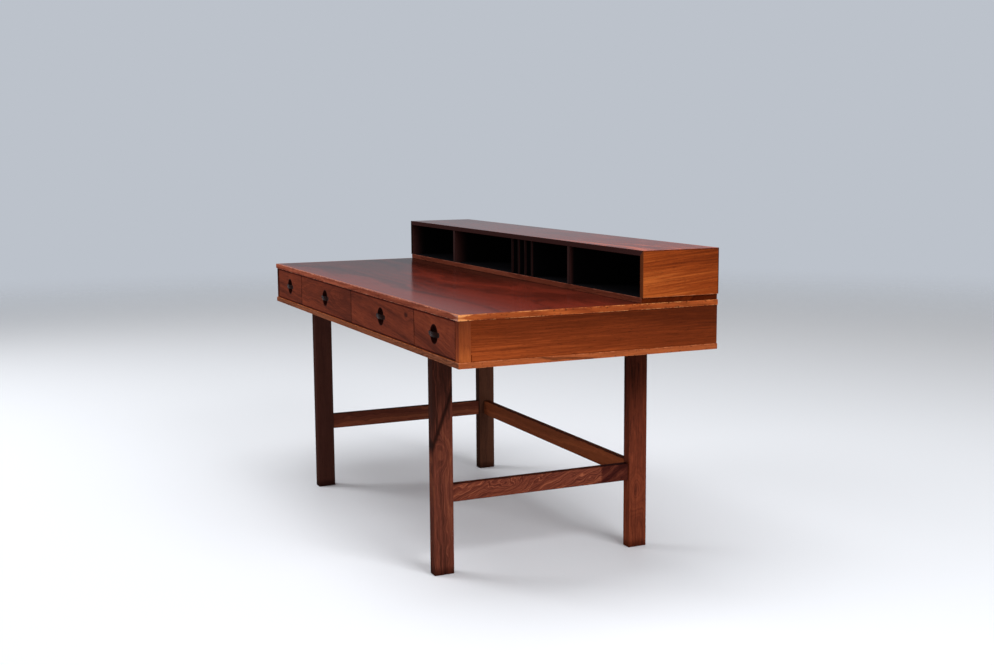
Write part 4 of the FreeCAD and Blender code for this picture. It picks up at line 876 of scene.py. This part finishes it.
# %% [markdown]
# ## The gallery
# The pigeonholes are painted black from just behind the front edges of their boards to the back. On the
# upright walls the black fades in from dark wood at the front, further on one wall than on the next, and
# that fade paints the falloff of light into the pigeonholes. The front edges themselves are bare wood,
# coloured dark partly as painted shade on these front faces, and the one of the left end is nearly black.
# The set-back fronts of the slot dividers are tinted darker as painted shade. Black walls could be
# separate thin boxes inside the gallery, but paint has no thickness, and patches on the boards leave
# every piece as it was built.

# %% Measure the painted space
PAINT_MARGIN = 0.0003
BARE_FRONT = 0.0014
leaf_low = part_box("gallery_leaf")[0]
back_low, back_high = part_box("gallery_back")
margin = Vector((PAINT_MARGIN, PAINT_MARGIN, PAINT_MARGIN))
paint_low = Vector((back_low.x, leaf_low.y + BARE_FRONT, back_low.z)) - margin
paint_high = Vector((back_high.x, back_low.y, back_high.z)) + margin
paint = (paint_low, paint_high, BLACK_PAINT)
print("painted space:", [round(size, 4) for size in paint_high - paint_low])

# %% [markdown]
# ## The outside of the gallery
# Outside, the ends are the brightest boards of the desk, with dust along their upper and rear edges. The
# top is polished most of all, but less and less towards the right, so the box of its polish has a border
# that fades over more than a metre. The underside of the leaf is polished like the desk's top, because it
# lengthens the top when the gallery is turned over. None of this needs a finish of its own: the boards
# take the same function as the case, with their faces tinted, polished or patched.

# %% Finish the top and the leaf
GALLERY_POLISH = 0.62
GALLERY_ROUGHNESS = 0.16
# The gallery top's front edge is dark wood and partly painted shade on a front face.
TOP_FRONT = (56, 34, 33)
LEAF_END_SHADE = (174, 134, 76)
LEAF_UNDERSIDE = (225, 195, 180)
FAR_OFF = 9
WORN_FROM = 1.2
WORN_FADE = 1.6
worn_polish = (Vector((-FAR_OFF, -FAR_OFF, -FAR_OFF)), Vector((WORN_FROM, FAR_OFF, FAR_OFF)), WORN_FADE)
top_front = (*skin("gallery_top", "front", BARE_FRONT), TOP_FRONT)
# The leaf's end tints paint the shade in the recess under the gallery's ends.
leaf_tints = [tint("gallery_leaf", face, LEAF_END_SHADE) for face in ("left", "right")]
leaf_tints.append(tint("gallery_leaf", "bottom", LEAF_UNDERSIDE))
wood("gallery_top", "gallery top", "X", (0, 0.03, -0.14), 41.0, ring=0.009, swirl=0.2, ink=0.1,
     contrast=0.6, streak=0.15, lift=-0.045, lean=(0.1, 0, 0), edge=0.001, polish=GALLERY_POLISH,
     polish_roughness=GALLERY_ROUGHNESS, polished=worn_polish, patches=(top_front, paint))
wood("gallery_leaf", "leaf", "X", (0, 0.1, -0.1), 42.0, ring=0.005, swirl=0.08, ink=0.3, lift=0.03,
     lean=(0.04, 0, 0), edge=0.0014, polish=TOP_POLISH, polish_roughness=TOP_ROUGHNESS,
     polished=skin("gallery_leaf", "bottom"), tints=leaf_tints, patches=(paint,))
print("leaf tints:", len(leaf_tints))

# %% Finish the ends, the back and the dividers
# The black fades in over a distance that paints the falloff of light into the pigeonholes, and the ends'
# front colours are dark wood and partly painted shade.
INNER_WOOD = (86, 53, 51)
PAINTED_FALLOFF = 0.05
END_FRONTS = {"left": (34, 20, 16), "right": (94, 48, 27)}
END_DUST = (120, 105, 105)
END_DUST_FADE = 0.0012
REAR_DUST_DEPTH = 0.0006
SLOT_FRONT_SHADE = (175, 172, 172)
inner_wood = (paint_low, paint_high, INNER_WOOD)
for side, seed in (("left", 43.0), ("right", 45.85)):
    node = "gallery_end_" + side
    end_front = (*skin(node, "front", BARE_FRONT), END_FRONTS[side])
    dust = (
        tint(node, "top", END_DUST, 0.0, END_DUST_FADE),
        tint(node, "back", END_DUST, REAR_DUST_DEPTH, END_DUST_FADE),
    )
    wood(node, "gallery end", "Y", (0, 0.3, -0.2), seed, ring=0.003, swirl=0.035, ink=0.15, contrast=0.5,
         streak=0.42, streak_length=0.16, slant=(0, 0, 0.08), lean=(-0.5, 0, -0.9), edge=0.001, tints=dust,
         patches=(end_front, inner_wood, (*paint, PAINTED_FALLOFF)))
wood("gallery_back", "end", "X", (0, -0.12, 0.0), 45.0, ring=0.007, swirl=0.12, patches=(paint,))
# Each divider's fade paints the falloff of light into its pigeonhole, and the slot dividers' front tint
# paints shade on their set-back fronts.
DIVIDERS = {
    "gallery_divider_left": {"seed": 46.0, "fade": PAINTED_FALLOFF},
    "gallery_divider_right": {"seed": 47.0, "fade": 0.3 * PAINTED_FALLOFF},
    "gallery_slot_dividers": {"seed": 48.0, "fade": 0.08 * PAINTED_FALLOFF},
}
slot_front_shades = {"gallery_slot_dividers": (tint("gallery_slot_dividers", "front", SLOT_FRONT_SHADE, BARE_FRONT),)}
for node, divider in DIVIDERS.items():
    divider_low = Vector((paint_low.x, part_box(node)[0].y + BARE_FRONT, paint_low.z))
    divider_wood = (divider_low, paint_high, INNER_WOOD)
    divider_paint = (divider_low, paint_high, BLACK_PAINT, divider["fade"])
    wood(node, "divider", "Z", (0, 0.1, 0.0), divider["seed"], tints=slot_front_shades.get(node, ()),
         patches=(divider_wood, divider_paint))
print("dividers:", len(DIVIDERS))

# %% [markdown]
# ## The drawer boxes
# Behind the rosewood fronts the drawers are plain, as drawers are: sides, backs, bottoms, runners and
# partitions of a pale, straight-grained wood that was only sanded and waxed. It is the same figure as the
# rosewood's, without ink, with a far-off heart and hardly a swirl, so it needs no group of its own.

# %% Finish the drawer boxes
BOX_GRAINS = {"side_left": "Y", "side_right": "Y", "back": "X", "bottom": "X"}
FIRST_BOX_SEED = 50.0
SEEDS_PER_BOX = 5
PLAIN = {"ring": 0.004, "swirl": 0.04, "ink": 0.0, "shine": 0.2}
for drawer in FRONTS:
    for order, (piece, grain) in enumerate(BOX_GRAINS.items()):
        seed = FIRST_BOX_SEED + SEEDS_PER_BOX * drawer + order
        wood("drawer_%d_%s" % (drawer, piece), "drawer", grain, (0, 0.3, 0.2), seed, **PLAIN)
wood("drawer_partitions", "drawer", "Y", (0, 0.3, 0.2), 75.0, **PLAIN)
wood("drawer_runners", "drawer", "Y", (0, 0.3, 0.1), 76.0, **PLAIN)
print("box pieces:", len(FRONTS) * len(BOX_GRAINS))

# %% [markdown]
# ## The pull bars
# A drawer is opened by hooking a finger behind a bowed black bar that crosses the cup in its front. The
# bar is a strip of sheet metal: its ends are round and lie flush in the wood, its middle is pressed
# outwards in an arc, and its edges are slightly rounded, which is where it catches the light. A curve
# with a bevel would give a bar of even section, but not the round ends. So a box is drawn to the strip's
# size, its four corners are bevelled round, it is cut across many times, and each cut is moved out by the
# height of the arc there. One bar is made in the middle of the scene, and copied to the four drawers.

# %% Select parts of a mesh that is being edited
def pick(kind, test):
    """Select the vertices or edges that pass a test, and nothing else."""
    bpy.ops.mesh.select_mode(type={"verts": "VERT", "edges": "EDGE"}[kind])
    bpy.ops.mesh.select_all(action="DESELECT")
    mesh = bmesh.from_edit_mesh(bpy.context.object.data)
    for item in getattr(mesh, kind):
        item.select_set(test(item))
    mesh.select_flush_mode()
    bmesh.update_edit_mesh(bpy.context.object.data)


def runs_along_y(edge):
    """Whether an edge goes straight from front to back."""
    first, second = (corner.co for corner in edge.verts)
    return abs(first.y - second.y) > 0.99 * (first - second).length


print("edit helpers ready")

# %% Model one bar
BAR_LENGTH = 0.073
BAR_HEIGHT = 0.0124
BAR_THICKNESS = 0.0024
BOW_HALF = 0.027
BOW_RISE = 0.0056
BOW_RADIUS = (BOW_HALF ** 2 + BOW_RISE ** 2) / (2 * BOW_RISE)
BOW_CUTS = 37
CORNER_RADIUS = 0.49 * BAR_HEIGHT
CORNER_STEPS = 8
EDGE_ROUNDING = 0.0006
EDGE_STEPS = 3
EDGE_ANGLE = math.radians(50)
SMOOTH_ANGLE = math.radians(35)
SAME_PLACE = 1e-5

bpy.ops.object.select_all(action="DESELECT")
bpy.ops.mesh.primitive_cube_add(size=1)
bar = bpy.context.object
bar.name = "pull_bar"
bpy.ops.object.mode_set(mode="EDIT")
bpy.ops.transform.resize(value=(BAR_LENGTH, BAR_THICKNESS, BAR_HEIGHT))
pick("edges", runs_along_y)
bpy.ops.mesh.bevel(offset=CORNER_RADIUS, segments=CORNER_STEPS, affect="EDGES")
cuts = [BOW_HALF * (2 * cut / (BOW_CUTS - 1) - 1) for cut in range(BOW_CUTS)]
for cut in cuts:
    bpy.ops.mesh.select_all(action="SELECT")
    bpy.ops.mesh.bisect(plane_co=(cut, 0, 0), plane_no=(1, 0, 0))
for cut in cuts:
    rise = math.sqrt(BOW_RADIUS ** 2 - cut ** 2) - (BOW_RADIUS - BOW_RISE)
    pick("verts", lambda corner: abs(corner.co.x - cut) < SAME_PLACE)
    bpy.ops.transform.translate(value=(0, -rise, 0))
bpy.ops.object.mode_set(mode="OBJECT")
rounding = bar.modifiers.new("rounded_edges", "BEVEL")
rounding.width = EDGE_ROUNDING
rounding.segments = EDGE_STEPS
rounding.limit_method = "ANGLE"
rounding.angle_limit = EDGE_ANGLE
bpy.ops.object.modifier_apply(modifier=rounding.name)
bpy.ops.object.shade_smooth_by_angle(angle=SMOOTH_ANGLE)
print("bar:", len(bar.data.polygons), "faces,", [round(size, 4) for size in bar.dimensions])

# %% [markdown]
# ## Metal
# The pulls are black painted metal, the hinges brass, and the screws steel; the cups' dark red-brown is
# black paint and also a painted reflection of the rosewood round them. All three are smooth materials that
# only show they are real through uneven gloss: rubbed paint, brushed brass, dull steel. Scratches could be
# cut into the meshes, but they are finer than a hair, so noise in the gloss and a faint bump are enough.

# %% Define the metals
METALS = {
    "pull_black": {"main": (26, 9, 5), "rubbed": (36, 17, 12), "metallic": 0, "rough": 0.24, "shine": 0.016},
    # The cups' dark red-brown paints the reflection of the surrounding rosewood into their black paint.
    "cup_paint_and_reflection": {"main": (52, 22, 17), "rubbed": (60, 27, 21), "metallic": 0, "rough": 0.4, "shine": 0.005},
    "hinge_brass": {"main": (170, 132, 66), "rubbed": (128, 94, 44), "metallic": 1, "rough": 0.3,
                    "shine": 0.5},
    "screw_steel": {"main": (168, 164, 158), "rubbed": (120, 116, 110), "metallic": 1, "rough": 0.34,
                    "shine": 0.5},
}
CLOUD_LUMPS = (90, 90, 90)
SCRATCH_LUMPS = (60, 900, 900)
SCRATCH_STRENGTH = 0.1
SCRATCH_DEPTH = 0.0001
SMOOTHER = 0.08
ROUGHER = 0.1


def metal(name):
    """A metal or painted metal whose colour and gloss are uneven in small clouds."""
    look = METALS[name]
    finish = bpy.data.materials.new(name)
    finish.use_nodes = True
    tree = finish.node_tree
    shader = tree.nodes["Principled BSDF"]
    place = tree.nodes.new("ShaderNodeTexCoord").outputs["Object"]
    clouds = noise(tree, place, 4.0, CLOUD_LUMPS, 0.6).outputs["Fac"]
    scratches = noise(tree, place, 2.0, SCRATCH_LUMPS).outputs["Fac"]
    rubbed = span(tree, clouds, 0.45, 0.75)
    rough = span(tree, scratches, 0.2, 0.8, look["rough"] - SMOOTHER, look["rough"] + ROUGHER)
    plug(tree, shader.inputs["Base Color"], mix(tree, rubbed, shade(*look["main"]), shade(*look["rubbed"])))
    plug(tree, shader.inputs["Roughness"], rough)
    plug(tree, shader.inputs["Metallic"], look["metallic"])
    plug(tree, shader.inputs["Specular IOR Level"], look["shine"])
    bump = add_node(tree, "ShaderNodeBump", Height=scratches, Strength=SCRATCH_STRENGTH,
                    Distance=SCRATCH_DEPTH)
    plug(tree, shader.inputs["Normal"], bump.outputs["Normal"])
    return finish


metals = {name: metal(name) for name in METALS}
print("metals:", ", ".join(metals))

# %% Copy the bar to the drawers
bar.data.materials.append(metals["pull_black"])
for drawer in FRONTS:
    dress("drawer_%d_pull_cup" % drawer, metals["cup_paint_and_reflection"])
    node = "drawer_%d_pull_bar" % drawer
    low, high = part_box(node)
    bpy.ops.object.select_all(action="DESELECT")
    bar.select_set(True)
    bpy.context.view_layer.objects.active = bar
    bpy.ops.object.duplicate()
    piece = bpy.context.object
    piece.name = "drawer_%d_bowed_bar" % drawer
    tab_middle = low.y + BOW_RISE + BAR_THICKNESS / 2
    bpy.ops.transform.translate(value=((low.x + high.x) / 2, tab_middle, (low.z + high.z) / 2))
    bpy.ops.object.transform_apply(location=True, rotation=False, scale=False)
    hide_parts(node)
    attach(piece, "drawer_%d" % drawer)
bpy.data.objects.remove(bar)

# %% Finish the hinges and the screws
BRASS_PIECES = ("hinge_fixed_leaves", "hinge_moving_leaves")
STEEL_PIECES = ("hinge_pins", "hinge_fixed_screws", "hinge_moving_screws", "leg_screws")
for node in BRASS_PIECES:
    dress(node, metals["hinge_brass"])
for node in STEEL_PIECES:
    dress(node, metals["screw_steel"])
print("brass:", len(BRASS_PIECES), "steel:", len(STEEL_PIECES))
